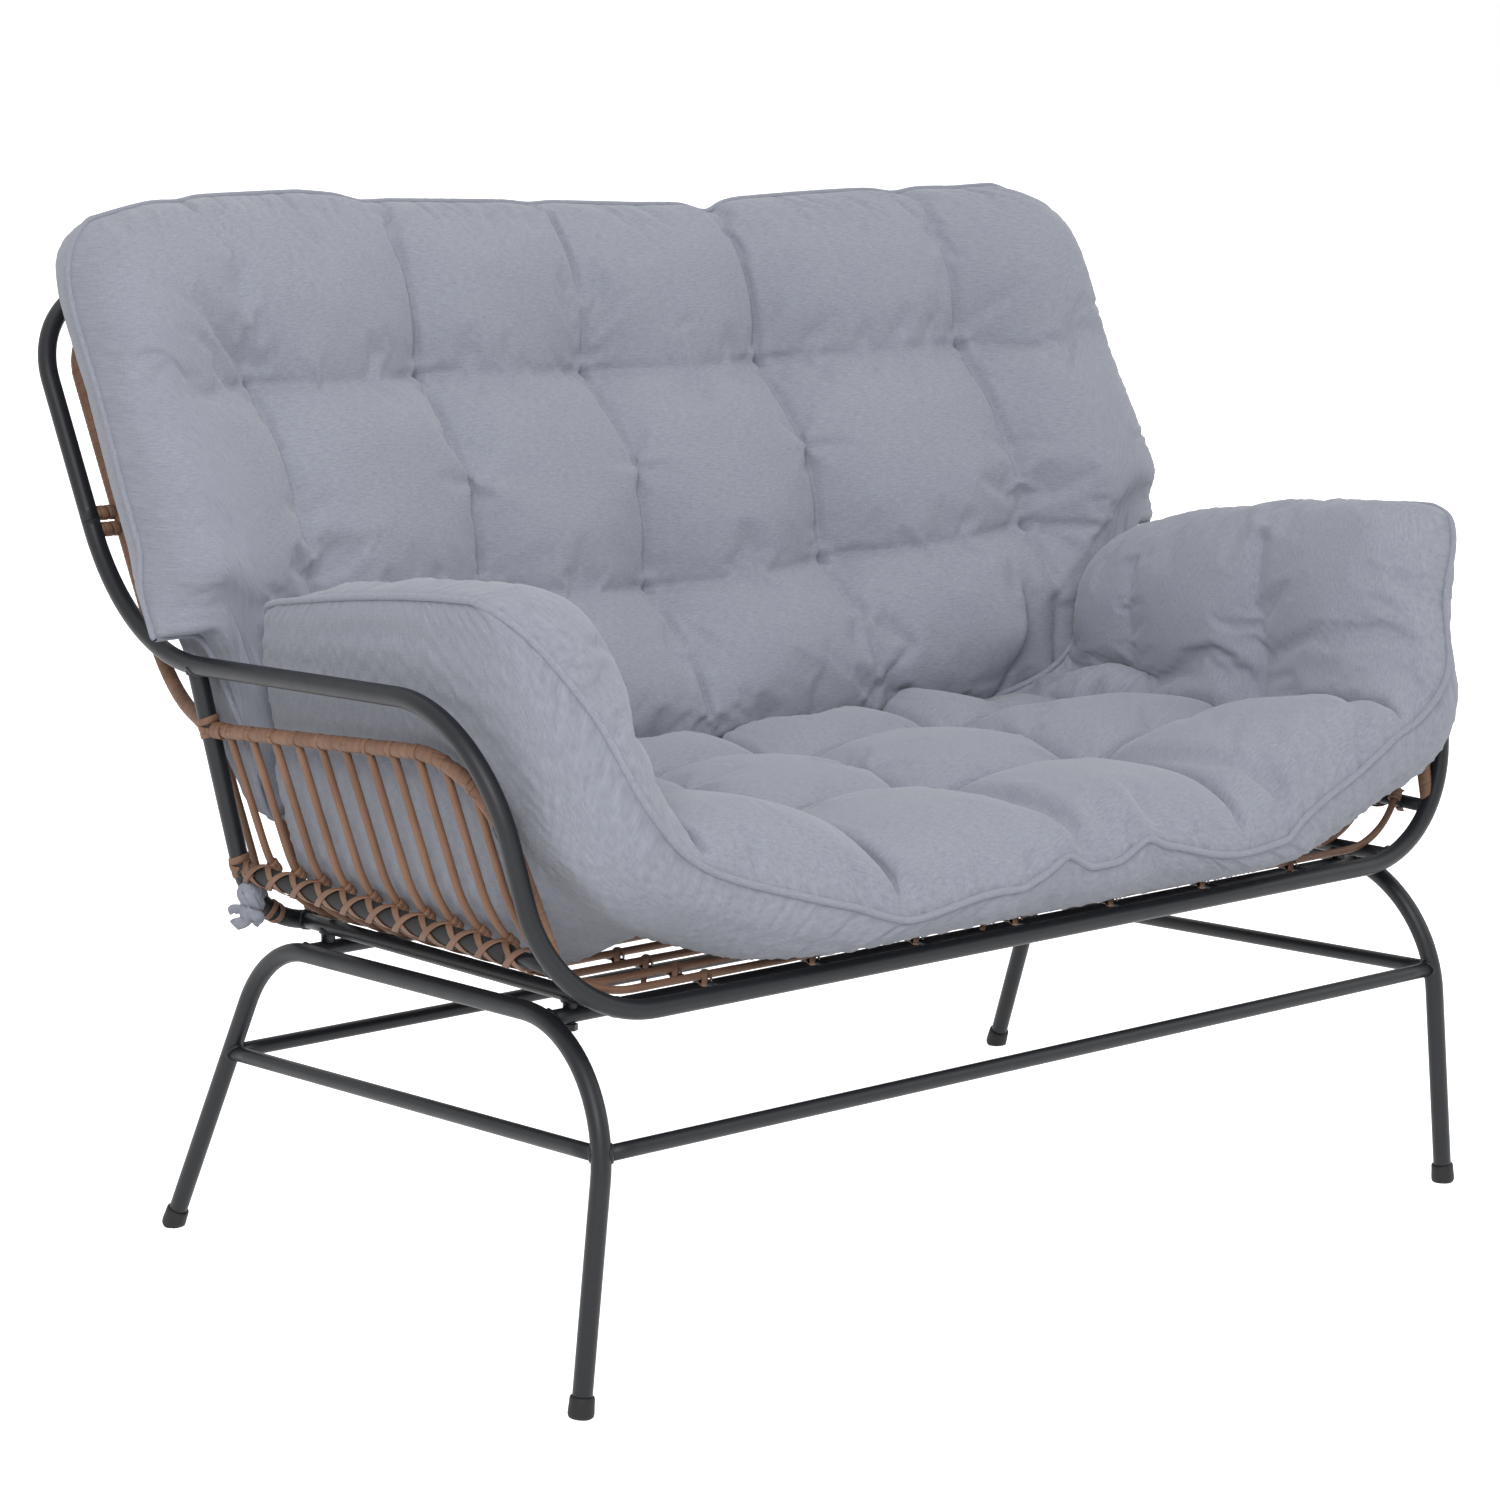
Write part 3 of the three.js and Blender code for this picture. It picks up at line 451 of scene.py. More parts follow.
# 1 where a camera, glossy or transmission ray meets the surface, 0 for the light's own rays.
def seen_directly(tree):
    path = tree.nodes.new("ShaderNodeLightPath")
    seen = summed(tree, path.outputs["Is Camera Ray"], path.outputs["Is Glossy Ray"], "MAXIMUM")
    return summed(tree, seen, path.outputs["Is Transmission Ray"], "MAXIMUM")


def powder_coat(name, dark, light, roughness):
    mat, tree, shader = new_material(name)
    place = tree.nodes.new("ShaderNodeTexCoord").outputs["Object"]
    cloudy = noise_on(tree, place, 9.0, 3.0)
    colour = ramp_on(tree, cloudy, [(0.3, dark), (0.7, light)])
    tree.links.new(colour, shader.inputs["Base Color"])
    worn = noise_on(tree, place, 60.0, 2.0)
    rough = ranged(tree, worn, roughness - 0.06, roughness + 0.08)
    tree.links.new(rough, shader.inputs["Roughness"])
    shader.inputs["Specular IOR Level"].default_value = 0.34
    grainy = noise_on(tree, place, 2600.0, 1.0)
    tree.links.new(bump_on(tree, grainy, 0.16, 0.0003), shader.inputs["Normal"])
    return mat


# Cane with streaks and flecks along its grain; patch is how fine its lighter patches are.
def rattan(name, dark, mid, light, roughness, streak, patch=14.0):
    mat, tree, shader = new_material(name)
    grain = node(tree, "ShaderNodeAttribute", attribute_name="grain").outputs["Vector"]
    place = tree.nodes.new("ShaderNodeTexCoord").outputs["Object"]
    patches = noise_on(tree, place, patch, 2.0)
    lines = noise_on(tree, mapped(tree, grain, (28.0, 1900.0, 1.0)), 1.0, 3.0, 0.6)
    flecks = noise_on(tree, mapped(tree, grain, (160.0, 700.0, 1.0)), 1.0, 2.0)
    base = ramp_on(tree, patches, [(0.25, dark), (0.5, mid), (0.75, light)])
    streaky = ramp_on(tree, lines, [(0.32, (0.62, 0.58, 0.55)), (0.6, (1.0, 1.0, 1.0))])
    colour = blended(tree, base, streaky, streak, "MULTIPLY")
    fleck = ramp_on(tree, flecks, [(0.3, (0.7, 0.66, 0.62)), (0.42, (1.0, 1.0, 1.0))])
    colour = blended(tree, colour, fleck, 0.45, "MULTIPLY")
    tree.links.new(colour, shader.inputs["Base Color"])
    shader.inputs["Roughness"].default_value = roughness
    shader.inputs["Specular IOR Level"].default_value = 0.4
    height = summed(tree, lines, flecks)
    tree.links.new(bump_on(tree, height, 0.45, 0.0005), shader.inputs["Normal"])
    return mat


# Plain weave with thick and thin crosswise yarns, on the cloth's own coordinates in metres.
def linen(name, dark, mid, light):
    mat, tree, shader = new_material(name)
    cloth = node(tree, "ShaderNodeAttribute", attribute_name="grain").outputs["Vector"]
    slubs = noise_on(tree, mapped(tree, cloth, (150.0, 720.0, 1.0)), 1.0, 2.0, 0.6)
    warp = noise_on(tree, mapped(tree, cloth, (760.0, 170.0, 1.0)), 1.0, 2.0, 0.5)
    blotches = noise_on(tree, mapped(tree, cloth, (9.0, 22.0, 1.0)), 1.0, 3.0, 0.55)
    yarn_a = stripes_on(tree, mapped(tree, cloth, (170.0, 1.0, 1.0)), "X")
    yarn_b = stripes_on(tree, mapped(tree, cloth, (1.0, 190.0, 1.0)), "Y")
    base = ramp_on(tree, slubs, [(0.28, dark), (0.5, mid), (0.74, light)])
    threads = ramp_on(tree, warp, [(0.3, (0.9, 0.9, 0.91)), (0.65, (1.0, 1.0, 1.0))])
    colour = blended(tree, base, threads, 0.75, "MULTIPLY")
    cloudy = ramp_on(tree, blotches, [(0.3, (0.95, 0.95, 0.96)), (0.7, (1.0, 1.0, 1.0))])
    colour = blended(tree, colour, cloudy, 0.8, "MULTIPLY")
    tree.links.new(colour, shader.inputs["Base Color"])
    shader.inputs["Roughness"].default_value = 0.92
    shader.inputs["Specular IOR Level"].default_value = 0.22
    shader.inputs["Sheen Weight"].default_value = 0.25
    shader.inputs["Sheen Roughness"].default_value = 0.5
    woven = summed(tree, yarn_a, yarn_b)
    height = summed(tree, summed(tree, woven, 0.35, "MULTIPLY"), slubs)
    height = summed(tree, height, warp)
    tree.links.new(bump_on(tree, height, 0.35, 0.0006), shader.inputs["Normal"])
    return mat


steel = powder_coat("charcoal_powder_coat", (0.0085, 0.0098, 0.0125), (0.012, 0.0138, 0.0172), 0.42)
black_steel = powder_coat("black_bolt_steel", (0.012, 0.012, 0.013), (0.02, 0.02, 0.022), 0.4)
rubber = powder_coat("black_cap_plastic", (0.010, 0.010, 0.011), (0.016, 0.016, 0.017), 0.6)
cane = rattan("rattan_strand_caramel", (0.165, 0.084, 0.050), (0.222, 0.117, 0.071),
              (0.272, 0.150, 0.093), 0.5, 0.55)
cane_wrap = rattan("rattan_wrap_caramel", (0.172, 0.091, 0.056), (0.234, 0.127, 0.080),
                   (0.280, 0.158, 0.102), 0.56, 0.7, 30.0)
# Near-black core under the lashings: the dark rail's colour plus painted shade between the crossing strips
rail_shade_core = rattan("rail_and_painted_shade_core", (0.011, 0.011, 0.011), (0.015, 0.014, 0.014),
                   (0.021, 0.018, 0.017), 0.7, 0.5)
cloth = linen("linen_blue_grey", (0.270, 0.284, 0.332), (0.308, 0.324, 0.377), (0.347, 0.363, 0.416))

# Routes of the steel frame
lean = (TOP_RAIL[0] - BACK_CORNER[0]) / (TOP_RAIL[1] - BACK_CORNER[1])
upright_axis = vec(0, lean, 1).normalized()


def upright_y(z):
    return BACK_CORNER[0] + lean * (z - BACK_CORNER[1])


def seat_half(side):
    return [
        vec(side * ARM_X, upright_y(SEAM_Z), SEAM_Z) - upright_axis * WELD_GAP / 2,
        vec(side * ARM_X, *BACK_CORNER),
        vec(side * ARM_FRONT[0], ARM_FRONT[1], ARM_FRONT[2]),
        vec(side * FRONT_CORNER_X, *FRONT_RAIL),
    ]


seat_points = bent(seat_half(1) + seat_half(-1)[::-1], SEAT_LOOP_RADII + SEAT_LOOP_RADII[::-1])
half_front = seat_points[2 * (BEND_STEPS + 1):]


def back_half(side, inset):
    x = side * (ARM_X - inset)
    return [
        vec(x, upright_y(SEAM_Z), SEAM_Z) + upright_axis * WELD_GAP / 2,
        vec(x, *TOP_RAIL) - upright_axis * inset,
    ]


def back_points(inset):
    corner = TOP_CORNER_R - inset
    return bent(back_half(1, inset) + back_half(-1, inset)[::-1], [corner, corner])


inner_points = back_points(INNER_INSET)
arm_rear = where(seat_points, 1, HOOP_Y)
hoop_points = bent(
    [
        vec(ARM_X, HOOP_Y, arm_rear.z),
        vec(HOOP_CORNER_X, HOOP_Y, HOOP_Z),
        vec(-HOOP_CORNER_X, HOOP_Y, HOOP_Z),
        vec(-ARM_X, HOOP_Y, arm_rear.z),
    ],
    [HOOP_CORNER_R, HOOP_CORNER_R],
)


def leg_x(z):
    return LEG_FOOT_X - LEG_DRAW_IN * z / LEG_HEIGHT


def leg_points(side):
    rear_end = LEG_REAR_FOOT_Y + (LEG_REAR[0] - LEG_REAR_FOOT_Y) * LEG_END_Z / LEG_REAR[1]
    at = [(LEG_FRONT[0], LEG_END_Z), LEG_FRONT, LEG_REAR, (rear_end, LEG_END_Z)]
    return bent([vec(side * leg_x(z), y, z) for y, z in at], LEG_CORNER_RADII)


legs = {1: leg_points(1), -1: leg_points(-1)}
front_joint = where(legs[1], 2, STRETCHER_Z[0])
rear_joint = where(legs[1][::-1], 2, STRETCHER_Z[1])
front_cross, rear_cross = (where(legs[1], 1, y) for y in CROSS_Y)
side_rear = where(hoop_points, 0, SIDE_RAIL_X)
side_front = where(half_front, 0, SIDE_RAIL_X)
lashed_rear = where(hoop_points, 2, LASHED_Z)
lashed_front = where(half_front, 2, LASHED_Z)


def side_rail_z(y):
    return side_rear.z + (y - side_rear.y) / (side_front.y - side_rear.y) * (side_front.z - side_rear.z)


def lashed_x(y):
    share = (y - lashed_rear.y) / (lashed_front.y - lashed_rear.y)
    return lashed_rear.x + share * (lashed_front.x - lashed_rear.x)


seat_route = Route(filled(seat_points))
back_route = Route(filled(back_points(0)))
hoop_route = Route(filled(hoop_points))
leg_routes = {side: Route(filled(legs[side])) for side in (1, -1)}
names = {1: "left", -1: "right"}


# One piece per steel node, of finer facets than the solid it stands for.
def steel_tube(name, route, radius, replaced, sides=STEEL_SIDES):
    form = Form()
    round_tube(form, route, radius, sides)
    return form.build(name, steel, "frame_steel", replaced)


steel_tube("steel_seat_loop", seat_route, FRAME_R, ["seat_frame_tube"])
steel_tube("steel_back_loop", back_route, FRAME_R, ["back_frame_tube"])
steel_tube("steel_rear_hoop", hoop_route, FRAME_R, ["rear_hoop"])

welds = Form()


# A straight route that stops short of both its ends.
def bar_route(a, b, trim=2.0):
    d = (b - a).normalized()
    up = (0, 0, 1) if abs(d.z) < 0.9 else (1, 0, 0)
    return Route(filled([a + d * trim, b - d * trim], 30.0), up)


# Welds both ends of a bar to the routes it meets.
def weld_ends(a, b, radius, first, second, first_r=FRAME_R, second_r=FRAME_R):
    for here, there, route, tube_r in ((a, b, first, first_r), (b, a, second, second_r)):
        if route is None:
            continue
        point = row(here)
        away = np.array(there - here)
        weld(welds, point, route.tangent_near(point), tube_r, away, radius, here.x * 0.1 + here.z)


for side in (1, -1):
    steel_tube("steel_leg_loop_" + names[side], leg_routes[side], FRAME_R, ["leg_loop_" + names[side]])
    a, b = mirrored(front_joint, side), mirrored(rear_joint, side)
    steel_tube("steel_side_stretcher_" + names[side], bar_route(a, b), RAIL_R,
               ["side_stretcher_" + names[side]])
    weld_ends(a, b, RAIL_R, leg_routes[side], leg_routes[side])
for name, point in (("front_stretcher", front_joint), ("rear_stretcher", rear_joint),
                    ("front_cross_member", front_cross), ("rear_cross_member", rear_cross)):
    a, b = mirrored(point, 1), mirrored(point, -1)
    steel_tube("steel_" + name, bar_route(a, b), RAIL_R, [name])
    weld_ends(a, b, RAIL_R, leg_routes[1], leg_routes[-1])
for side in (1, -1):
    a, b = mirrored(side_rear, side), mirrored(side_front, side)
    form = Form()
    rail = bar_route(a, b)
    round_tube(form, rail, RAIL_R, STEEL_SIDES)
    for y, cross in zip(CROSS_Y, (front_cross, rear_cross)):
        foot = vec(side * SIDE_RAIL_X, y, cross.z + BOSS_OVERLAP)
        top = vec(side * SIDE_RAIL_X, y, side_rail_z(y))
        boss = bar_route(foot, top, 0.0)
        round_tube(form, boss, BOSS_R, 20)
        weld(welds, row(top), rail.t[1], RAIL_R, np.array((0, 0, -1.0)), BOSS_R, y)
    form.build("steel_side_bottom_rail_" + names[side], steel, "frame_steel",
               ["side_bottom_rail_" + names[side]])
    weld_ends(a, b, RAIL_R, hoop_route, seat_route)
    a, b = mirrored(lashed_rear, side), mirrored(lashed_front, side)
    steel_tube("steel_lashed_rail_" + names[side], bar_route(a, b), LASHED_R,
               ["lashed_side_rail_" + names[side]])
    weld_ends(a, b, LASHED_R, hoop_route, seat_route)
    post_top = vec(side * ARM_X, HOOP_Y, arm_rear.z)
    post_dir = np.array(hoop_points[1] - hoop_points[0]) * np.array((side, 1, 1))
    point = row(post_top)
    weld(welds, point, seat_route.tangent_near(point), FRAME_R, post_dir, FRAME_R, 3.0 * side)

# Foot caps with a rounded lip and a flat sole
for side in (1, -1):
    for end in ("front", "rear"):
        station = legs[side][0] if end == "front" else legs[side][-1]
        inner = legs[side][1] if end == "front" else legs[side][-2]
        up = (inner - station).normalized()
        pts = [station + up * (h / up.z) for h, _ in CAP_PROFILE]
        cap_route = Route(pts, up=(1, 0, 0))
        form = Form()
        sweep(form, cap_route.p, cap_route.n, cap_route.b, circle(MM, STEEL_SIDES), cap_route.s,
              scale=[r for _, r in CAP_PROFILE])
        for block in form.v:
            block[:, 2] = np.maximum(block[:, 2], 0.0)
        form.build("cap_%s_%s" % (end, names[side]), rubber, "foot_cap",
                   ["foot_cap_%s_%s" % (end, names[side])])

# Rattan: arm rails, back rails and stubs wound with flat strip
post_at = where(hoop_points, 2, ARM_RAIL_REAR_Z)


def arm_rail_points(side):
    corners = [post_at, vec(*ARM_RAIL_FRONT), lashed_front]
    return bent([mirrored(p, side) for p in corners], [ARM_RAIL_CORNER_R])


def back_side_points(side):
    seam_end = back_half(1, INNER_INSET)[0] - upright_axis * WELD_GAP
    slope = (ARM_RAIL_FRONT[2] - ARM_RAIL_REAR_Z) / (HOOP_Y - ARM_RAIL_FRONT[1])
    corner_z = (BACK_CORNER[1] + ARM_RAIL_REAR_Z - slope * (BACK_CORNER[0] - HOOP_Y)) / 2
    corner = vec(ARM_X - INNER_INSET, upright_y(corner_z), corner_z)
    return bent([mirrored(p, side) for p in (post_at, corner, seam_end)], [BACK_SIDE_CORNER_R])


arm_routes = {side: Route(filled(arm_rail_points(side), 6.0)) for side in (1, -1)}
back_side_routes = {side: Route(filled(back_side_points(side), 6.0)) for side in (1, -1)}
inner_route = Route(filled(inner_points, 6.0))
lashed_routes = {
    side: bar_route(mirrored(lashed_rear, side), mirrored(lashed_front, side), 2.0) for side in (1, -1)
}


# Middle of a strand's lower bend, which clears the lashed rail and the side bottom rail.
def bend_centre(y):
    far = STRAND_BEND_R + STRAND_R + 2 * WELD_GAP
    a = Vector((lashed_x(y), LASHED_Z))
    b = Vector((SIDE_RAIL_X, side_rail_z(y)))
    ra, rb = far + LASHED_R, far + RAIL_R
    span = b - a
    d = span.length
    along = (ra * ra - rb * rb + d * d) / (2 * d)
    off = math.sqrt(ra * ra - along * along)
    span = span / d
    return Vector((a.x + span.x * along + span.y * off, a.y + span.y * along - span.x * off))


def strand_seat_y(i):
    return STRAND_SEAT_Y[0] + (STRAND_SEAT_Y[1] - STRAND_SEAT_Y[0]) * i / (STRANDS - 1)


def strand_top_y(i):
    return STRAND_TOP_Y[0] + (STRAND_TOP_Y[1] - STRAND_TOP_Y[0]) * i / (STRANDS - 1)


arm_points = arm_rail_points(1)


# One half of a strand: from the arm rail down, round the bend and on to the seat.
def half_strand(i):
    seat_y = strand_seat_y(i)
    centre = bend_centre(seat_y)
    top = where(arm_points, 1, strand_top_y(i))
    to_top = Vector((top.x, top.z)) - centre
    start = math.atan2(to_top.y, to_top.x) - math.acos(STRAND_BEND_R / to_top.length)
    low_z = centre.y - STRAND_BEND_R

    def lean_y(z):
        return seat_y + (top.y - seat_y) * (z - low_z) / (top.z - low_z)

    points = [top]
    for k in range(25):
        a = start + (-math.pi / 2 - start) * k / 24
        z = centre.y + STRAND_BEND_R * math.sin(a)
        points.append(vec(centre.x + STRAND_BEND_R * math.cos(a), lean_y(z), z))
    return points


half_strands = [half_strand(i) for i in range(STRANDS)]
for i, half in enumerate(half_strands):
    form = Form()
    path = filled(half + [mirrored(p, -1) for p in half[::-1]], 9.0)
    round_tube(form, Route(path, up=(0, -1, 0)), STRAND_R, 12, seed=3.1 * i, waver=0.06)
    form.build("cane_strand_%d" % (i + 1), cane, "rattan_strand", ["seat_strand_%d" % (i + 1)])

# Strip wound on the rails: radius of the core, radius it lies on, pitch, width and thickness
WRAP_CORE_R, WRAP_R, WRAP_PITCH, WRAP_WIDTH, WRAP_THICK = 5.6, 5.05, 11.5, 12.0, 1.2


def wrap_core(name, route, replaced):
    form = Form()
    round_tube(form, route, WRAP_CORE_R, CORE_SIDES)
    form.build(name, cane_wrap, "rattan_wrap", [replaced])


def wrap_strip(name, route, start, end, seed):
    form = Form()
    wind(form, route, start, end, WRAP_R, WRAP_PITCH, WRAP_WIDTH, WRAP_THICK, seed)
    form.build(name, cane_wrap, "rattan_wrap")


# Each arm rail: a core, close turns of strip between the strands and a band over each strand's end
for side in (1, -1):
    route = arm_routes[side]
    wrap_core("arm_rail_core_" + names[side], route, "arm_rail_" + names[side])
    tops = [route.near(row(mirrored(half[0], side))) for half in half_strands]
    wraps = Form()
    stops = [0.008] + tops + [route.length - 0.006]
    for k, (a, b) in enumerate(zip(stops, stops[1:])):
        a2, b2 = a + (2.6 * MM if k else 0), b - (2.6 * MM if k < len(stops) - 2 else 0)
        turns = max(1, round((b2 - a2) / (WRAP_PITCH * MM)))
        pitch = (b2 - a2) / MM / turns
        inset = pitch * MM * 0.42
        wind(wraps, route, a2 + inset, b2 - inset, WRAP_R, pitch, pitch * 1.05, WRAP_THICK,
             seed=k + 20 * side, phase=k * 1.3)
    for k, s in enumerate(tops):
        band(wraps, route, s, 5.3, 5.6, 1.35, seed=k * 0.37, tilt=0.9)
    wraps.build("arm_rail_strip_" + names[side], cane_wrap, "rattan_wrap")

# The inner back rail and the back side rails
wrap_core("back_rail_core", inner_route, "back_inner_rail")
wrap_strip("back_rail_strip", inner_route, 0.004, inner_route.length - 0.004, 4)
for side in (1, -1):
    route = back_side_routes[side]
    wrap_core("back_side_core_" + names[side], route, "back_side_rail_" + names[side])
    wrap_strip("back_side_strip_" + names[side], route, 0.012, route.length - 0.003, 7 + side)
    for where_name, along in (("upper", STUB_FROM_SEAM), ("lower", -STUB_FROM_SEAM)):
        outside = vec(side * ARM_X, upright_y(SEAM_Z), SEAM_Z) + upright_axis * along
        inside = vec(side * (ARM_X - INNER_INSET), outside.y, outside.z)
        stub = Route([inside, inside.lerp(outside, 0.5), outside])
        form = Form()
        round_tube(form, stub, 5.2, CORE_SIDES)
        wind(form, stub, 0.003, stub.length - 0.007, 5.25, 7.4, 7.0, 1.3, seed=3 + along)
        form.build("stub_strip_%s_%s" % (where_name, names[side]), cane_wrap, "rattan_wrap",
                   ["%s_stub_%s" % (where_name, names[side])])

# Short steel stubs between the arm rails and the seat loop
past_bend = BEND_STEPS + 2
near_bend = {1: seat_points[past_bend:], -1: seat_points[::-1][past_bend:]}
for side in (1, -1):
    a = where(arm_rail_points(side)[::-1], 2, ARM_STUB_Z)
    b = where(near_bend[side], 2, ARM_STUB_Z)
    steel_tube("steel_arm_stub_" + names[side], bar_route(a, b, 1.0), RAIL_R, ["arm_stub_" + names[side]])
    weld_ends(b, a, RAIL_R, seat_route, None)


# A closed loop of strip round two crossing bars, in the plane of a direction and of lift. Its two heights
# are measured along lift, to this side and to the other.
def lash_loop(form, centre, direction, heights, width, seed, lift=(0, 0, 1.0)):
    lift = np.array(lift)
    e = unit(direction)
    a = np.linspace(0, 2 * math.pi, 23) + seed
    high = np.where(np.sin(a) > 0, *heights)
    p = centre + ((np.cos(a) * KNOT_HALF_WIDTH)[:, None] * e + (np.sin(a) * high)[:, None] * lift) * MM
    out = (np.cos(a) / KNOT_HALF_WIDTH)[:, None] * e + (np.sin(a) / high)[:, None] * lift
    strip(form, p, out, width, 1.0, seed)


# Knots: half their width, their heights above and below, width of their strip and lean of their two loops
KNOT_HALF_WIDTH = 4.9
SEAT_KNOT_HEIGHTS, SEAT_KNOT_STRIP = (6.6, 5.4), 5.2
BACK_KNOT_HEIGHTS, BACK_KNOT_STRIP = (4.6, 4.2), 5.0
KNOT_LEANS = (0.75, -0.75)
BACK_AWAY = (0, -0.88, 0.46)  # away from the back panel, to its front
# Lashing: half axes of its near-black core (the dark rail's colour and painted shade between the strips)
# and of the crossing strips, growth per layer, strip size
LASHING_SHADE_CORE = (8.2, 6.5)
LASHING_AXES, LASHING_LAYER = (8.6, 6.9), 0.95
LASHING_STRIP = (5.8, 0.95)
LASHING_START = 0.034  # how far before the first strand it begins, in metres
STRAND_BANDS = ((0.009, 4.0, 6.4), (0.004, 4.6, 6.0))  # place in metres, radius and width
BAND_THICK = 1.1

# Lashed side rails: a near-black core that paints the dark rail and the shade between the strips, crossing
# strips over it and two bands on each strand
for side in (1, -1):
    route = lashed_routes[side]
    form = Form()
    outward = -side  # sign of the turn that faces away from the seat
    crossings = []
    for half in half_strands:
        point = where([mirrored(p, side) for p in half[:0:-1]], 2, LASHED_Z + 2.0)
        crossings.append((route.near(row(point)), np.array(row(point))))
    stops = [crossings[0][0] - LASHING_START] + [c[0] for c in crossings]
    # Painted shade: the near-black core fills the gaps between the crossing strips
    under = Form()
    wound = (route.s > stops[0]) & (route.s < stops[-1])
    inner = circle(MM, 20) * LASHING_SHADE_CORE
    sweep(under, route.p[wound], route.n[wound], route.b[wound], inner, route.s[wound])
    under.build("lashing_shade_core_" + names[side], rail_shade_core, "rattan_wrap")
    for k in range(len(stops) - 1):
        a, b = stops[k], stops[k + 1]
        for start, end, layer in ((a, b, 0.0), (b, a, 1.0)):
            theta = np.radians(np.linspace(-55, 235, 30))
            share = np.clip((np.degrees(theta) + 8) / 196, 0, 1)
            s = start + (end - start) * share
            p, t, n, bb = route.at(s)
            turn = outward * theta
            rise, wide = (axis + layer * LASHING_LAYER for axis in LASHING_AXES)
            place = (rise * np.cos(turn))[:, None] * n + (wide * np.sin(turn))[:, None] * bb
            out = (np.cos(turn) / rise)[:, None] * n + (np.sin(turn) / wide)[:, None] * bb
            strip(form, p + place * MM, out, *LASHING_STRIP, seed=k + 0.5 * layer)
    for k, (s, point) in enumerate(crossings):
        half = half_strands[k]
        strand = Route([mirrored(p, side) for p in half[::-1]], up=(0, -1, 0))
        near = strand.near(point)
        for lift, radius, width in STRAND_BANDS:
            band(form, strand, near + lift, radius, width, 1.5, seed=k * 0.6 + lift, tilt=0.9)
    form.build("lashing_side_" + names[side], cane_wrap, "rattan_wrap")

# Strip round the posts where the arm rails and the lashed rails end. On the posts: height, in millimetres,
# where a group of turns lies. On the rails: first turn, spacing, count, radius, width and tilt.
POST_GROUPS, POST_TURNS, POST_SPACING = (ARM_RAIL_REAR_Z + 3.0, LASHED_Z + 4.0), 3, 5.6
LASHED_END = (9.5, 5.8, 3, LASHED_R + 0.15, 6.0, 1.6)
ARM_END = (10.5, 7.0, 2, 6.2, 7.2, 1.8)
for side in (1, -1):
    form = Form()
    for z in POST_GROUPS:
        place = where(hoop_points if side > 0 else hoop_points[::-1], 2, z)
        s = hoop_route.near(row(place))
        for k in range(POST_TURNS):
            band(form, hoop_route, s + (k - 1) * POST_SPACING * MM, FRAME_R + 0.15 + 0.5 * (k % 2), 6.4,
                 BAND_THICK, seed=k + z, tilt=2.2 * (-1) ** k)
    for route, ends, turn in ((lashed_routes[side], LASHED_END, 1.7), (arm_routes[side], ARM_END, 1.3)):
        start, spacing, count, radius, width, tilt = ends
        for k in range(count):
            band(form, route, (start + spacing * k) * MM, radius, width, BAND_THICK, k * turn, tilt)
    form.build("post_wraps_" + names[side], cane_wrap, "rattan_wrap")

# Cross rods under the seat, with a knot at each strand
seat_zs = [half[-1].z for half in half_strands]
strand_slope = (seat_zs[-1] - seat_zs[0]) / (STRAND_SEAT_Y[1] - STRAND_SEAT_Y[0])
rod_drop = STRAND_R + ROD_R + 2 * WELD_GAP
knots = Form()
for k in range(SEAT_RODS):
    x = (k - (SEAT_RODS - 1) / 2) * ROD_PITCH
    a, b = (vec(x, y, seat_zs[0] - rod_drop + strand_slope * (y - STRAND_SEAT_Y[0]))
            for y in (FRONT_RAIL[0], HOOP_Y))
    steel_tube("steel_cross_rod_%d" % (k + 1), bar_route(a, b, 7.0), ROD_R,
               ["seat_cross_rod_%d" % (k + 1)], 14)
    for i in range(STRANDS):
        y = strand_seat_y(i)
        centre = np.array(row((x, y, seat_zs[i] - rod_drop / 2)))
        for tilt in KNOT_LEANS:
            lash_loop(knots, centre, (tilt, 1, 0), SEAT_KNOT_HEIGHTS, SEAT_KNOT_STRIP,
                      seed=k * 1.1 + i * 0.7 + tilt)
        if (i * 7 + k * 3) % 4 == 0:  # every fourth knot has a loose tail
            u = np.linspace(0, 1, 6)[:, None]
            turn = 0.9 * math.sin(3.0 * i + k)
            away = np.array((math.sin(turn), -math.cos(turn), -0.35))
            tail = centre + np.array((0, 0, -4.6)) * MM + away * u * 13 * MM
            tail[:, 2] -= (u[:, 0] ** 2) * 4 * MM
            strip(knots, tail, np.tile(np.array((0.1, 0.1, 1.0)), (6, 1)), 4.6, 0.8, seed=i + k)
knots.build("seat_knots", cane_wrap, "rattan_wrap")

# Back panel: strands from the rear bottom rail to the inner top rail, two rods, hooks and knots
inner_top = back_half(1, INNER_INSET)[1]
back_slope = (inner_top.y - HOOP_Y) / (inner_top.z - HOOP_Z)


def back_strand_y(z):
    return HOOP_Y + back_slope * (z - HOOP_Z)


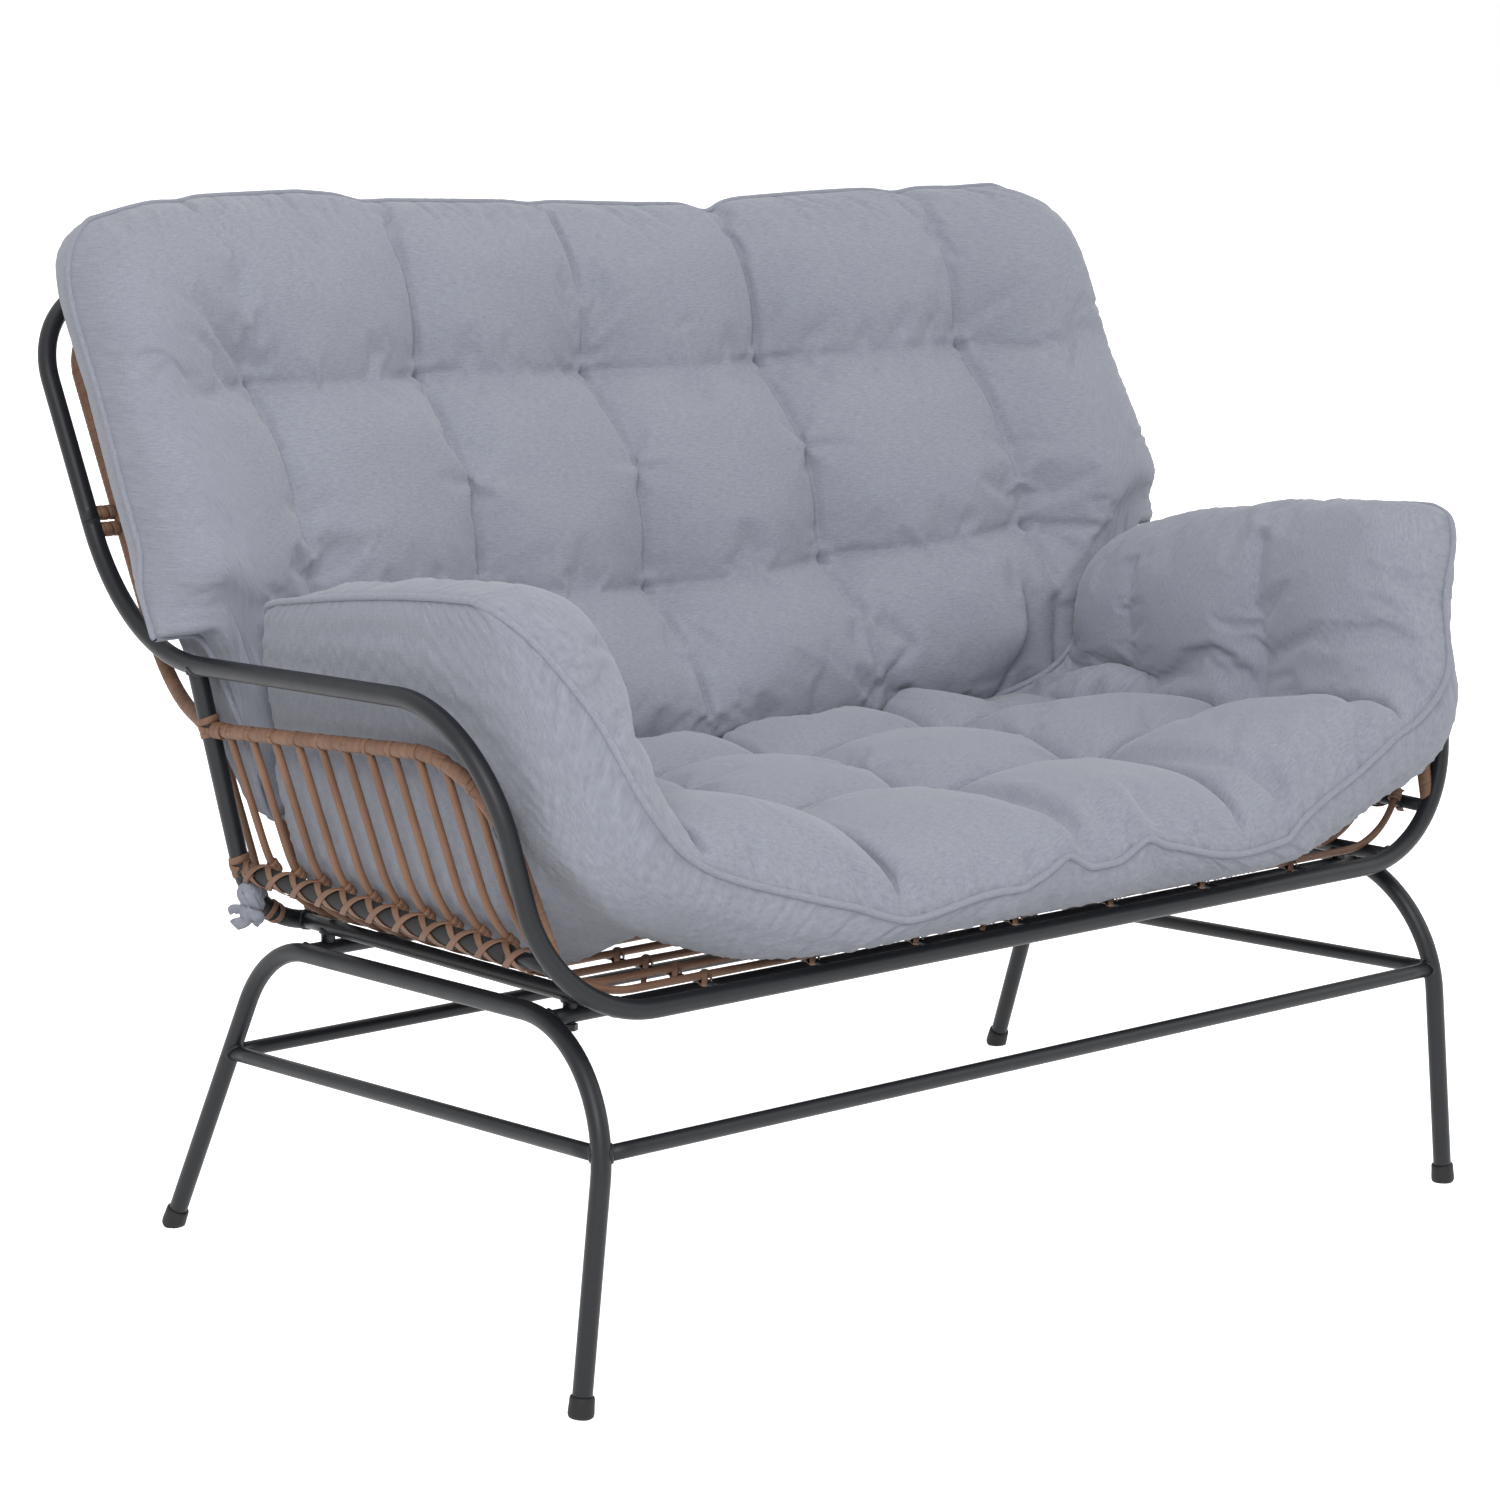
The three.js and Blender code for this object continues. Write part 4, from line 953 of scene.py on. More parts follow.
panel = Form()
panel_knots = Form()
for i in range(BACK_STRANDS):
    x = (i - (BACK_STRANDS - 1) / 2) * BACK_PITCH
    low_z = where(hoop_points, 0, x).z
    low, high = vec(x, back_strand_y(low_z), low_z), vec(x, inner_top.y, inner_top.z)
    d = (high - low).normalized()
    strand = Route(filled([low + d * 7, high - d * 5.2], 9.0), up=(1, 0, 0))
    round_tube(panel, strand, STRAND_R, 10, seed=5.3 * i, waver=0.06)
    band(panel_knots, inner_route, inner_route.near(row(high)), 6.3, 7.4, 1.3, seed=i * 0.8, tilt=0.6)
    at = hoop_route.near(row(low))
    for shift in (-2.6, 2.6):
        band(panel_knots, hoop_route, at + shift * MM, FRAME_R + 0.15 + 0.3 * (shift > 0), 5.2, BAND_THICK,
             seed=i + shift, tilt=math.copysign(2.4, shift))
    for z in BACK_RODS:
        centre = np.array(row((x, back_strand_y(z) + ROD_R / 2, z)))
        for tilt in KNOT_LEANS:
            direction = (1, tilt * BACK_AWAY[2], -tilt * BACK_AWAY[1])
            lash_loop(panel_knots, centre, direction, BACK_KNOT_HEIGHTS, BACK_KNOT_STRIP,
                      seed=i + tilt + z, lift=BACK_AWAY)
for z in BACK_RODS:
    rails = inner_points if z > SEAM_Z else back_side_points(1)
    end = where(rails if z > SEAM_Z else rails[::-1], 2, z)
    y = back_strand_y(z) + ROD_R
    rod = Route([vec(end.x - 4, y, z), vec(0, y, z), vec(-end.x + 4, y, z)], up=(0, 0, 1))
    round_tube(panel, rod, ROD_R, 12)
panel.build("cane_back_panel", cane, "rattan_strand", ["back_strand_panel"])
panel_knots.build("back_panel_knots", cane_wrap, "rattan_wrap")

welds.build("weld_beads", steel, "frame_steel")
for name, material in (("front_bolt", black_steel), ("rear_bolt", black_steel), ("seam_spigot", steel)):
    for side in (1, -1):
        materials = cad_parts["%s_%s" % (name, names[side])].data.materials
        materials.clear()
        materials.append(material)

# Cushion sizes, the same as the solids'
SOFT_GAP = 0.6
SEAT_FRONT_Y, SEAT_REAR_Y = -334.0, 156.0
SEAT_MID_Z, SEAT_TOP_Z = 368.0, 446.0
WING_EDGE_X, WING_EDGE_Z = 524.0, 622.0
WING_REAR_DROP, WING_REAR_DRAW_IN, WING_DROP_POWER = 62.0, 24.0, 1.4
WING_FRONT_Y, WING_REAR_Y = -278.0, 127.0
WING_CORNER_R = 45.0
WING_START_X, WING_START_BLEND = 316.0, 100.0
MIDDLE_SHARES = [(0, 0), (0.19, -0.01), (0.36, -0.04), (0.57, 0.07), (0.76, 0.23), (0.84, 0.42),
                 (0.89, 0.68), (0.95, 0.87), (1, 1)]
INNER_SHARES = [(0, -0.21), (0.19, -0.21), (0.37, -0.18), (0.57, 0.03), (0.76, 0.14), (0.78, 0.37),
                (0.795, 0.64), (0.83, 0.91), (0.88, 1.12)]
OUTER_SHARES = [(0.85, 0.22), (0.92, 0.36), (0.94, 0.52), (0.98, 0.76), (1.01, 0.94)]
UNDER_CURL_RISE = 34.0
UNDER_CURL = [(0, 0), (0.27, 0), (0.46, 0.045), (0.6, 0.3), (0.72, 1)]
TUFT_COLUMNS = (-404.0, -195.0, 0.0, 195.0, 404.0)
SEAT_ROWS = (-140.0, 45.0)
SEAT_SIDE_DIP, SEAT_DIP_START, SEAT_DIP_BLEND = 60.0, 215.0, 85.0
SEAT_TUFT_DEPTH = 34.0
BACK_HALF_WIDTH = 558.0
BACK_BOTTOM_Z, BACK_TOP_Z = 391.0, 878.0
BACK_CORNER_SHARE = 0.16
BACK_EAR_Z, BACK_EAR_X, BACK_EAR_BLEND = 532.0, 522.0, 46.0
SEAT_CONTACT, WING_CONTACT = (156.6, 418.0), (136.0, 556.0)
WING_CONTACT_X, CONTACT_BLEND = 345.0, 50.0
BACK_ROWS = (540.0, 726.0)
BACK_PUFF, BACK_TUFT_THICKNESS = 56.0, 20.0
BACK_SIDE_FORWARD = 132.0
CELL = 6.6  # size of a cell of the cushions' grids before they are refined

# What the cloth does on top of the solids' sizes
REAR_DROP_SHARE = {1: 0.78, -1: 0.66}  # of the wings' drop towards the rear, left and right
LEFT_WING_SINK = 13.0
SEAT_EDGE_FRONT, SEAT_EDGE_REAR, SEAT_EDGE_WING, SEAT_EDGE_UNDER = 84.0, 14.0, 50.0, 44.0
BACK_EDGE_LOW, BACK_EDGE, BACK_EDGE_UNDER = 14.0, 60.0, 46.0
# Air pressure and shrinking of the cloth, and the furthest it may move each cushion
PRESSURE, SHRINK = 4.0, -0.04
LINES_HELD, UNDER_HELD = 0.35, 0.85  # how firmly the lines between tufts and the resting face are held
SEAT_SWELL, BACK_SWELL = 20.0, 18.0
# Single folds of the seat's front row: from, to, bow and depth at the rim
SEAT_FOLDS = (((-182, -334), (-195, -140), 0.06, 7.0), ((8, -334), (0, -140), -0.05, 7.0),
              ((88, -334), (96, -286), 0.1, 5.0), ((250, -334), (200, -140), 0.08, 8.0),
              ((340, -334), (398, -150), -0.08, 5.0), ((-395, -334), (-400, -150), 0.06, 3.0))
# Single folds of the back's corners: from, to, bow and depth at both ends
BACK_FOLDS = (((-545, 845), (-410, 735), 0.08, 1.5, 3.2), ((412, 545), (500, 470), -0.08, 3.2, 1.0))
PIPING_R = 2.9


def smooth(t):
    s = np.clip(t, 0, 1)
    return s * s * (3 - 2 * s)


def bell(distance, spread):
    return np.exp(-((distance / spread) ** 2))


# Distance of each value to the nearest of some lines.
def to_nearest(values, lines):
    return np.min([np.abs(values - line) for line in lines], axis=0)


# Height at each place of a line given by pairs of place and height.
def heights_along(pairs, places):
    return np.interp(places, *np.transpose(pairs))


# A centripetal Catmull-Rom curve through points, at parameters from 0 to their count less one.
def curve(points, t):
    p = np.array(points, float)
    p = np.concatenate([[2 * p[0] - p[1]], p, [2 * p[-1] - p[-2]]])
    t = np.asarray(t, float)
    k = np.clip(np.floor(t).astype(int), 0, len(points) - 2)
    f = (t - k)[..., None]
    a, b, c, d = p[k], p[k + 1], p[k + 2], p[k + 3]
    ab, bc, cd = (np.maximum(np.linalg.norm(y - x, axis=-1, keepdims=True) ** 0.5, 1e-4)
                  for x, y in ((a, b), (b, c), (c, d)))
    m1 = bc * ((b - a) / ab - (c - a) / (ab + bc) + (c - b) / bc)
    m2 = bc * ((c - b) / bc - (d - b) / (bc + cd) + (d - c) / cd)
    return ((2 * f**3 - 3 * f**2 + 1) * b + (f**3 - 2 * f**2 + f) * m1
            + (3 * f**2 - 2 * f**3) * c + (f**3 - f**2) * m2)


# A section of the seat cushion from its middle to a wing's edge, as points (x, z).
def across(shares, middle_z):
    return [(x * WING_EDGE_X, middle_z + z * (WING_EDGE_Z - middle_z)) for x, z in shares]


def seat_under_z(y):
    return seat_zs[0] + STRAND_R + SOFT_GAP + strand_slope * (y - STRAND_SEAT_Y[0])


# Height of a puff over its seams: steep beside a seam and round on top.
def pillow(distance, spread):
    d = np.clip(distance / spread, 0, 1)
    return np.sqrt(np.maximum(1 - (1 - d) ** 2, 0))


# How far stitching pulls a face in: most at a tuft, less along the lines between tufts. Rows end at last.
def pulled(x, y, columns, rows, spread=60.0, channel=0.62, last=1e3):
    to_column = to_nearest(x, columns)
    to_row = to_nearest(y, rows) + spread * smooth((np.abs(x) - last) / 50)
    lines = 1 - np.minimum(pillow(to_column, spread), pillow(to_row, spread))
    tufts = bell(np.hypot(to_column, to_row), 42.0)
    return np.clip(channel * lines + (0.9 - channel) * tufts + 0.2 * tufts * (1 - lines), 0, 1)


# Even steps of about one cell between knots, with every knot among them.
def steps(knots):
    out = [knots[0]]
    for a, b in zip(knots, knots[1:]):
        n = max(2, int(round(abs(b - a) / CELL)))
        out += [a + (b - a) * k / n for k in range(1, n + 1)]
    return np.array(out)


# Front rim of the seat cushion: where its piping dips and rises, by distance across
FRONT_WAVE = [(-240, 0), (-188, -9), (-150, -8), (-90, -8), (-62, -10), (-34, 0), (-14, 11), (11, -4),
              (44, -3), (76, 14), (96, 5), (150, -3), (220, -9), (246, -12), (262, -2), (290, 4),
              (330, 8), (384, 18), (430, 9), (470, 0)]


# A grid of the cushion's two faces, in the routes' own millimetres. Columns run from wing to wing.
def seat_grid():
    t = np.linspace(0, 8, 400)
    middle = curve(across(MIDDLE_SHARES, SEAT_MID_Z), t)
    inner = curve(across(INNER_SHARES, SEAT_TOP_Z), t)
    reach = distances((middle + inner) / 2)
    inner_x = inner[:, 0] + np.maximum(inner[:, 1] - SEAT_TOP_Z, 0)
    tuft_reach = [np.interp(c, inner_x, reach) for c in TUFT_COLUMNS[3:]]
    half = steps([0.0, *tuft_reach, reach[-1]])
    s = np.concatenate([-half[:0:-1], half])
    ts = np.interp(np.abs(s), reach, t)
    ys = steps([SEAT_FRONT_Y, *SEAT_ROWS, SEAT_REAR_Y])
    side = np.where(s < 0, -1.0, 1.0)[:, None]
    share = ((ys - SEAT_FRONT_Y) / (SEAT_REAR_Y - SEAT_FRONT_Y))[None, :]

    def placed(flat):
        x, z = flat[..., 0], flat[..., 1]
        wing = smooth((z - SEAT_TOP_Z) / (WING_EDGE_Z - SEAT_TOP_Z))
        front = SEAT_FRONT_Y + (WING_FRONT_Y - SEAT_FRONT_Y) * wing
        narrowed = smooth((x - WING_START_X) / WING_START_BLEND)
        rear = SEAT_REAR_Y + (WING_REAR_Y - SEAT_REAR_Y) * narrowed
        up = np.clip(1 + (z - WING_EDGE_Z) / WING_CORNER_R, 0, 1)
        rounding = WING_CORNER_R * (1 - np.sqrt(1 - up**2))
        lowered = wing * share**WING_DROP_POWER
        y = front + rounding + (rear - front - 2 * rounding) * share
        drop = WING_REAR_DROP * np.where(side < 0, REAR_DROP_SHARE[-1], REAR_DROP_SHARE[1]) * lowered
        drop = drop + np.where(side > 0, LEFT_WING_SINK, 0.0) * wing
        return np.stack([side * (x - WING_REAR_DRAW_IN * lowered), y, z - drop], axis=-1)

    def spread(flat):
        return np.repeat(flat[:, None, :], len(ys), axis=1)

    rim = placed(spread(curve(across(MIDDLE_SHARES, SEAT_MID_Z), ts)))
    over = placed(spread(curve(across(INNER_SHARES, SEAT_TOP_Z), ts)))
    under = np.zeros_like(rim)
    for j in range(len(ys)):
        for i in range(len(s)):
            z = seat_under_z(rim[i, j, 1])
            outline = [(x * WING_EDGE_X, z + rise * UNDER_CURL_RISE) for x, rise in UNDER_CURL]
            outline += [(x * WING_EDGE_X, z + h * (WING_EDGE_Z - z)) for x, h in OUTER_SHARES]
            under[i, j, 0::2] = curve(outline, ts[i] * (len(outline) - 1) / 8)
    under = placed(under[..., 0::2])
    under[..., 1] = rim[..., 1]
    unrolled = over[..., 0] + side * np.maximum(over[..., 2] - SEAT_TOP_Z, 0)
    wing = smooth((over[..., 2] - SEAT_TOP_Z) / (WING_EDGE_Z - SEAT_TOP_Z))
    beside = smooth((np.abs(over[..., 0]) - SEAT_DIP_START) / SEAT_DIP_BLEND)
    over[..., 2] -= SEAT_SIDE_DIP * beside * (1 - wing) * share
    inward = rim - over
    inward /= np.maximum(np.linalg.norm(inward, axis=-1), 1e-6)[..., None]
    lift = heights_along(FRONT_WAVE, s)[:, None] * smooth(1 - share / 0.225)
    pull = pulled(unrolled, over[..., 1], TUFT_COLUMNS, SEAT_ROWS, last=404.0)
    over = over + inward * (SEAT_TUFT_DEPTH * pull)[..., None]
    rim[..., 2] += lift
    over[..., 2] += lift * 0.6
    return s, ys, rim, over, under, unrolled[:, 0]


# The seat cushion's rear and its wings press the lower part of the back cushion in.
def pressed_back(x, z, y):
    beside = smooth((np.abs(x) - WING_CONTACT_X) / CONTACT_BLEND)
    contact_y = SEAT_CONTACT[0] + (WING_CONTACT[0] - SEAT_CONTACT[0]) * beside
    contact_z = SEAT_CONTACT[1] + (WING_CONTACT[1] - SEAT_CONTACT[1]) * beside
    below = smooth((contact_z + CONTACT_BLEND - z) / CONTACT_BLEND)
    return y + (np.maximum(y, contact_y) - y) * below


# Moves a face's low outer part out towards the strands, by a share of the way per point.
def out_to_strands(face, amount):
    lines = np.array([[(q.x, q.z) for q in half] for half in half_strands])
    rows_y = np.array([strand_seat_y(i) for i in range(STRANDS)])
    order = np.argsort(rows_y)
    anchor = np.array((350.0, 500.0))
    out = face.copy()
    for i, j in zip(*np.nonzero(amount > 0.01)):
        x, y, z = face[i, j]
        at = np.clip(np.interp(y, rows_y[order], order.astype(float)), 0, STRANDS - 1.001)
        k = int(at)
        line = lines[k] * (1 - at + k) + lines[k + 1] * (at - k)
        ray = np.array((abs(x), z)) - anchor
        reach = np.linalg.norm(ray)
        ray = ray / reach
        a, d = line[:-1] - anchor, np.diff(line, axis=0)
        cross = ray[0] * d[:, 1] - ray[1] * d[:, 0]
        cross = np.where(np.abs(cross) < 1e-9, 1e-9, cross)
        far = (a[:, 0] * d[:, 1] - a[:, 1] * d[:, 0]) / cross
        share = (a[:, 0] * ray[1] - a[:, 1] * ray[0]) / cross
        hits = far[(share >= 0) & (share <= 1) & (far > 0)]
        if len(hits):
            grown = max(0.0, hits.min() - STRAND_R - 5.0 - reach) * amount[i, j]
            out[i, j, 0] += np.sign(x) * ray[0] * grown
            out[i, j, 2] += ray[1] * grown
    return out


def closed_in(rim, face, edge_u, edge_v, gap_u, gap_v):
    fall_u = pillow(gap_u, edge_u)[:, None]
    fall_v = pillow(gap_v[None, :], edge_v)
    k = (fall_u * fall_v)[..., None]
    return rim + (face - rim) * k


# A closed cushion on one grid: its two faces share the rim.
class Padding:
    def __init__(self, s, t, over, under):
        self.s, self.t = s, t
        self.over, self.under = over.copy(), under.copy()
        self.join()

    def join(self):
        for edge in ((0, slice(None)), (-1, slice(None)), (slice(None), 0), (slice(None), -1)):
            self.under[edge] = self.over[edge]

    def indices(self):
        nu, nv = self.over.shape[:2]
        over = np.arange(nu * nv).reshape(nu, nv)
        under = over.copy()
        under[1:-1, 1:-1] = nu * nv + np.arange((nu - 2) * (nv - 2)).reshape(nu - 2, nv - 2)
        return over, under

    def vertices(self):
        return np.concatenate([self.over.reshape(-1, 3), self.under[1:-1, 1:-1].reshape(-1, 3)])

    def faces(self):
        over, under = self.indices()
        out = []
        for grid, turned in ((over, False), (under, True)):
            a, b, c, d = grid[:-1, :-1], grid[1:, :-1], grid[1:, 1:], grid[:-1, 1:]
            quads = (a, d, c, b) if turned else (a, b, c, d)
            out.append(np.stack([q.ravel() for q in quads], axis=1))
        return np.concatenate(out)

    def take(self, vertices):
        nu, nv = self.over.shape[:2]
        self.over = vertices[: nu * nv].reshape(nu, nv, 3).copy()
        self.under[1:-1, 1:-1] = vertices[nu * nv:].reshape(nu - 2, nv - 2, 3)
        self.join()

    # Twice as many cells, on smooth curves through the points.
    def refine(self):
        for name in ("over", "under"):
            setattr(self, name, doubled(doubled(getattr(self, name), 0), 1))
        self.s, self.t = doubled(self.s, 0), doubled(self.t, 0)
        self.join()

    def rim_loop(self):
        p = self.over
        return np.concatenate([p[:-1, 0], p[-1, :-1], p[:0:-1, -1], p[0, :0:-1]])


def doubled(a, axis):
    a = np.moveaxis(a, axis, 0)
    out = np.zeros((2 * len(a) - 1, *a.shape[1:]))
    out[::2] = a
    out[3:-3:2] = (9 * (a[1:-2] + a[2:-1]) - a[:-3] - a[3:]) / 16
    out[1] = (3 * a[0] + 6 * a[1] - a[2]) / 8
    out[-2] = (3 * a[-1] + 6 * a[-2] - a[-3]) / 8
    return np.moveaxis(out, 0, axis)


def normals(grid):
    du, dv = np.gradient(grid, axis=0), np.gradient(grid, axis=1)
    n = np.cross(du, dv)
    return n / np.maximum(np.linalg.norm(n, axis=-1), 1e-9)[..., None]


# Cloth with air in it, held at a weight per vertex; it works in metres and gives back millimetres.
def inflated(padding, weights, cap, frames=20):
    verts = padding.vertices()
    mesh = bpy.data.meshes.new("inflating")
    mesh.from_pydata((verts * MM).tolist(), [], padding.faces().tolist())
    obj = new_object("inflating", mesh)
    group = obj.vertex_groups.new(name="held")
    for level in np.unique(np.round(weights, 2)):
        chosen = np.nonzero(np.round(weights, 2) == level)[0]
        group.add(chosen.tolist(), float(level), "REPLACE")
    cloth_mod = obj.modifiers.new("cloth", "CLOTH")
    settings = cloth_mod.settings
    settings.quality = 5
    settings.mass = 0.3
    settings.tension_stiffness = 12
    settings.compression_stiffness = 8
    settings.shear_stiffness = 4
    settings.bending_stiffness = 0.25
    settings.use_pressure = True
    settings.uniform_pressure_force = PRESSURE
    settings.vertex_group_mass = "held"
    settings.pin_stiffness = 1.0
    settings.shrink_min = SHRINK
    settings.effector_weights.gravity = 0.0
    cloth_mod.collision_settings.use_collision = False
    cloth_mod.point_cache.frame_start = 1
    cloth_mod.point_cache.frame_end = frames
    scene = bpy.context.scene
    for frame_number in range(1, frames + 1):
        scene.frame_set(frame_number)
    evaluated = obj.evaluated_get(bpy.context.evaluated_depsgraph_get())
    result = np.zeros(len(verts) * 3)
    evaluated.data.vertices.foreach_get("co", result)
    result = result.reshape(-1, 3) / MM
    scene.frame_set(1)
    bpy.data.objects.remove(obj)
    bpy.data.meshes.remove(mesh)
    moved = result - verts
    length = np.linalg.norm(moved, axis=1)
    print("inflated by up to %.1f mm, %.1f on average" % (length.max(), length.mean()))
    return verts + moved * np.minimum(1, cap / np.maximum(length, 1e-6))[:, None]


def back_strand_face(z):
    return back_strand_y(z) - (FRAME_R + SOFT_GAP) / upright_axis.z


# Top edge and tuft rows of the back cushion: how far they rise above a level line, by distance across
TOP_WAVE = [(-558, 2), (-500, 4), (-440, 9), (-380, 11), (-262, 10), (-200, 4), (-174, -1), (-76, -5),
            (21, -9), (120, -14), (198, -16), (236, -12), (300, -9), (354, -7), (469, -4), (535, 4),
            (558, 6)]
ROW_WAVES = [(15, 5, -14, -2, 18), (10, 1, -10, -9, -1)]


def drawn_in(w):
    return np.sqrt(1 - BACK_CORNER_SHARE * np.abs(w) ** 8)


# Strengths of the upright creases below, between and above the tuft rows, by tuft column
BACK_BANDS = [(0.2, 0.35, 0.3, 0.1, 0.6), (0.9, 0.9, 0.6, 0.9, 1.0), (0.15, 0.9, 0.5, 1.0, 0.9)]


def band_strength(k, z):
    low, high = BACK_ROWS
    knots = [low - 26, low + 26, high - 26, high + 26]
    return np.interp(z, knots, [BACK_BANDS[0][k], BACK_BANDS[1][k], BACK_BANDS[1][k], BACK_BANDS[2][k]])


# How far the back's stitching pulls its face in: soft creases that sharpen close to the tufts.
def creased(x, z):
    to_row, to_column = to_nearest(z, BACK_ROWS), to_nearest(x, TUFT_COLUMNS)
    to_tuft = np.hypot(to_column, to_row)
    out = 0.3 * bell(to_row, 42) * (0.55 + 0.45 * bell(to_column, 90))
    for k, c in enumerate(TUFT_COLUMNS):
        across = np.abs(x - c)
        out = np.maximum(out, band_strength(k, z) * (0.34 * bell(across, 44) + 0.1 * np.exp(-across / 9)))
    near = np.exp(-to_tuft / 40)
    sharp = np.exp(-np.minimum(to_row, to_column) / 8) * near
    tufts = 0.54 * bell(to_tuft, 42) + 0.05 * np.exp(-to_tuft / 12)
    return np.clip(out * (1 - near) + tufts + 0.09 * sharp, 0, 1)


def back_grid():
    half = steps([0.0, *TUFT_COLUMNS[3:], BACK_HALF_WIDTH])
    s = np.concatenate([-half[:0:-1], half])
    heights = steps([BACK_BOTTOM_Z, *BACK_ROWS, BACK_TOP_Z])
    u = (s / BACK_HALF_WIDTH)[:, None]
    v = (2 * (heights - BACK_BOTTOM_Z) / (BACK_TOP_Z - BACK_BOTTOM_Z) - 1)[None, :]
    x = u * BACK_HALF_WIDTH * drawn_in(np.maximum(v, 0))
    low = BACK_EAR_Z + (BACK_BOTTOM_Z - BACK_EAR_Z) * smooth((BACK_EAR_X - np.abs(x)) / BACK_EAR_BLEND)
    high = BACK_ROWS[1] + (BACK_TOP_Z - BACK_ROWS[1]) * drawn_in(x / BACK_HALF_WIDTH)
    z = low + (high - low) * (v + 1) / 2
    top = smooth((v - 0.35) / 0.65)
    z = z + top * heights_along(TOP_WAVE, x)
    for c, depth in zip(TUFT_COLUMNS, (2, 4, 2, 7, 4)):
        z = z - depth * top**4 * bell(x - c, 17)
    bend = BACK_SIDE_FORWARD * (x / BACK_HALF_WIDTH) ** 2
    face = back_strand_face(z)
    pull = creased(x, z)
    rim = np.stack([x, pressed_back(x, z, face - 24 - 0.78 * bend), z], axis=-1)
    front = face - bend - BACK_TUFT_THICKNESS - BACK_PUFF * (1 - pull)
    front = pressed_back(x, z, front)
    over = np.stack([x, front, z], axis=-1)
    dimple = pulled(x, z, TUFT_COLUMNS, BACK_ROWS, 40.0, 0.3)
    under = np.stack([x, face + 3.6 - 0.55 * bend - 7 * dimple, z], axis=-1)
    ear = smooth((np.abs(u) - 0.9) / 0.1) * smooth((620 - z) / 60)
    rim[..., 0] -= 8 * ear * (u < 0)
    rim[..., 1] += 10 * ear
    for grid in (rim, over, under):
        for row_z, wave in zip(BACK_ROWS, ROW_WAVES):
            lifted = np.interp(grid[..., 0], TUFT_COLUMNS, wave)
            grid[..., 2] += lifted * bell(grid[..., 2] - row_z, 70)
    return s, heights, rim, over, under


# Weights that hold the rim, the tufts and the resting face while the rest swells.
def held_weights(padding, columns, rows):
    to_column = to_nearest(padding.s[:, None], columns)
    to_row = to_nearest(padding.t[None, :], rows)
    over = np.where(np.minimum(to_column, to_row) < 5, LINES_HELD, 0.0)
    over = np.maximum(over, np.clip(1.25 - np.hypot(to_column, to_row) / 16, 0, 1))
    over[0], over[-1], over[:, 0], over[:, -1] = 1, 1, 1, 1
    under = np.full(padding.under.shape[:2], UNDER_HELD)
    return np.concatenate([over.ravel(), under[1:-1, 1:-1].ravel()])


# A fold pressed into a face: deepest along its line, with a soft ridge on both sides.
def fold(field, s, t, points, depths, width):
    p = np.array(points, float)
    reach = width * 4
    i0, i1 = np.searchsorted(s, (p[:, 0].min() - reach, p[:, 0].max() + reach))
    j0, j1 = np.searchsorted(t, (p[:, 1].min() - reach, p[:, 1].max() + reach))
    if i1 <= i0 or j1 <= j0:
        return
    x, y = s[i0:i1][:, None], t[j0:j1][None, :]
    best = np.full((i1 - i0, j1 - j0), 1e9)
    depth = np.zeros_like(best)
    for k in range(len(p) - 1):
        d = p[k + 1] - p[k]
        f = np.clip(((x - p[k, 0]) * d[0] + (y - p[k, 1]) * d[1]) / max(d @ d, 1e-9), 0, 1)
        gap = np.hypot(x - p[k, 0] - f * d[0], y - p[k, 1] - f * d[1])
        nearer = gap < best
        best = np.where(nearer, gap, best)
        depth = np.where(nearer, depths[k] + (depths[k + 1] - depths[k]) * f, depth)
    shape = -bell(best, width) + 0.3 * bell(best - 2.1 * width, width * 1.1)
    field[i0:i1, j0:j1] += depth * shape


def curved_line(a, b, bow, count=9):
    a, b = np.array(a, float), np.array(b, float)
    d = b - a
    side = np.array((-d[1], d[0]))
    k = np.linspace(0, 1, count)[:, None]
    return a + d * k + side * bow * np.sin(math.pi * k)


# Depths of the folds along a column between tufts, from the rim to a tuft and along a row
COLUMN_FOLD = (3.0, 1.9, 1.0, 0.6, 0.5, 0.6, 1.0, 1.9, 3.0)
RIM_FOLD = (2.4, 2.0, 1.6, 1.2, 1.1, 1.2, 1.5, 2.2, 3.0)
ROW_FOLD = (3.0, 1.8, 0.9, 0.5, 0.4, 0.5, 0.9, 1.8, 3.0)
SMALL_FOLDS = 46


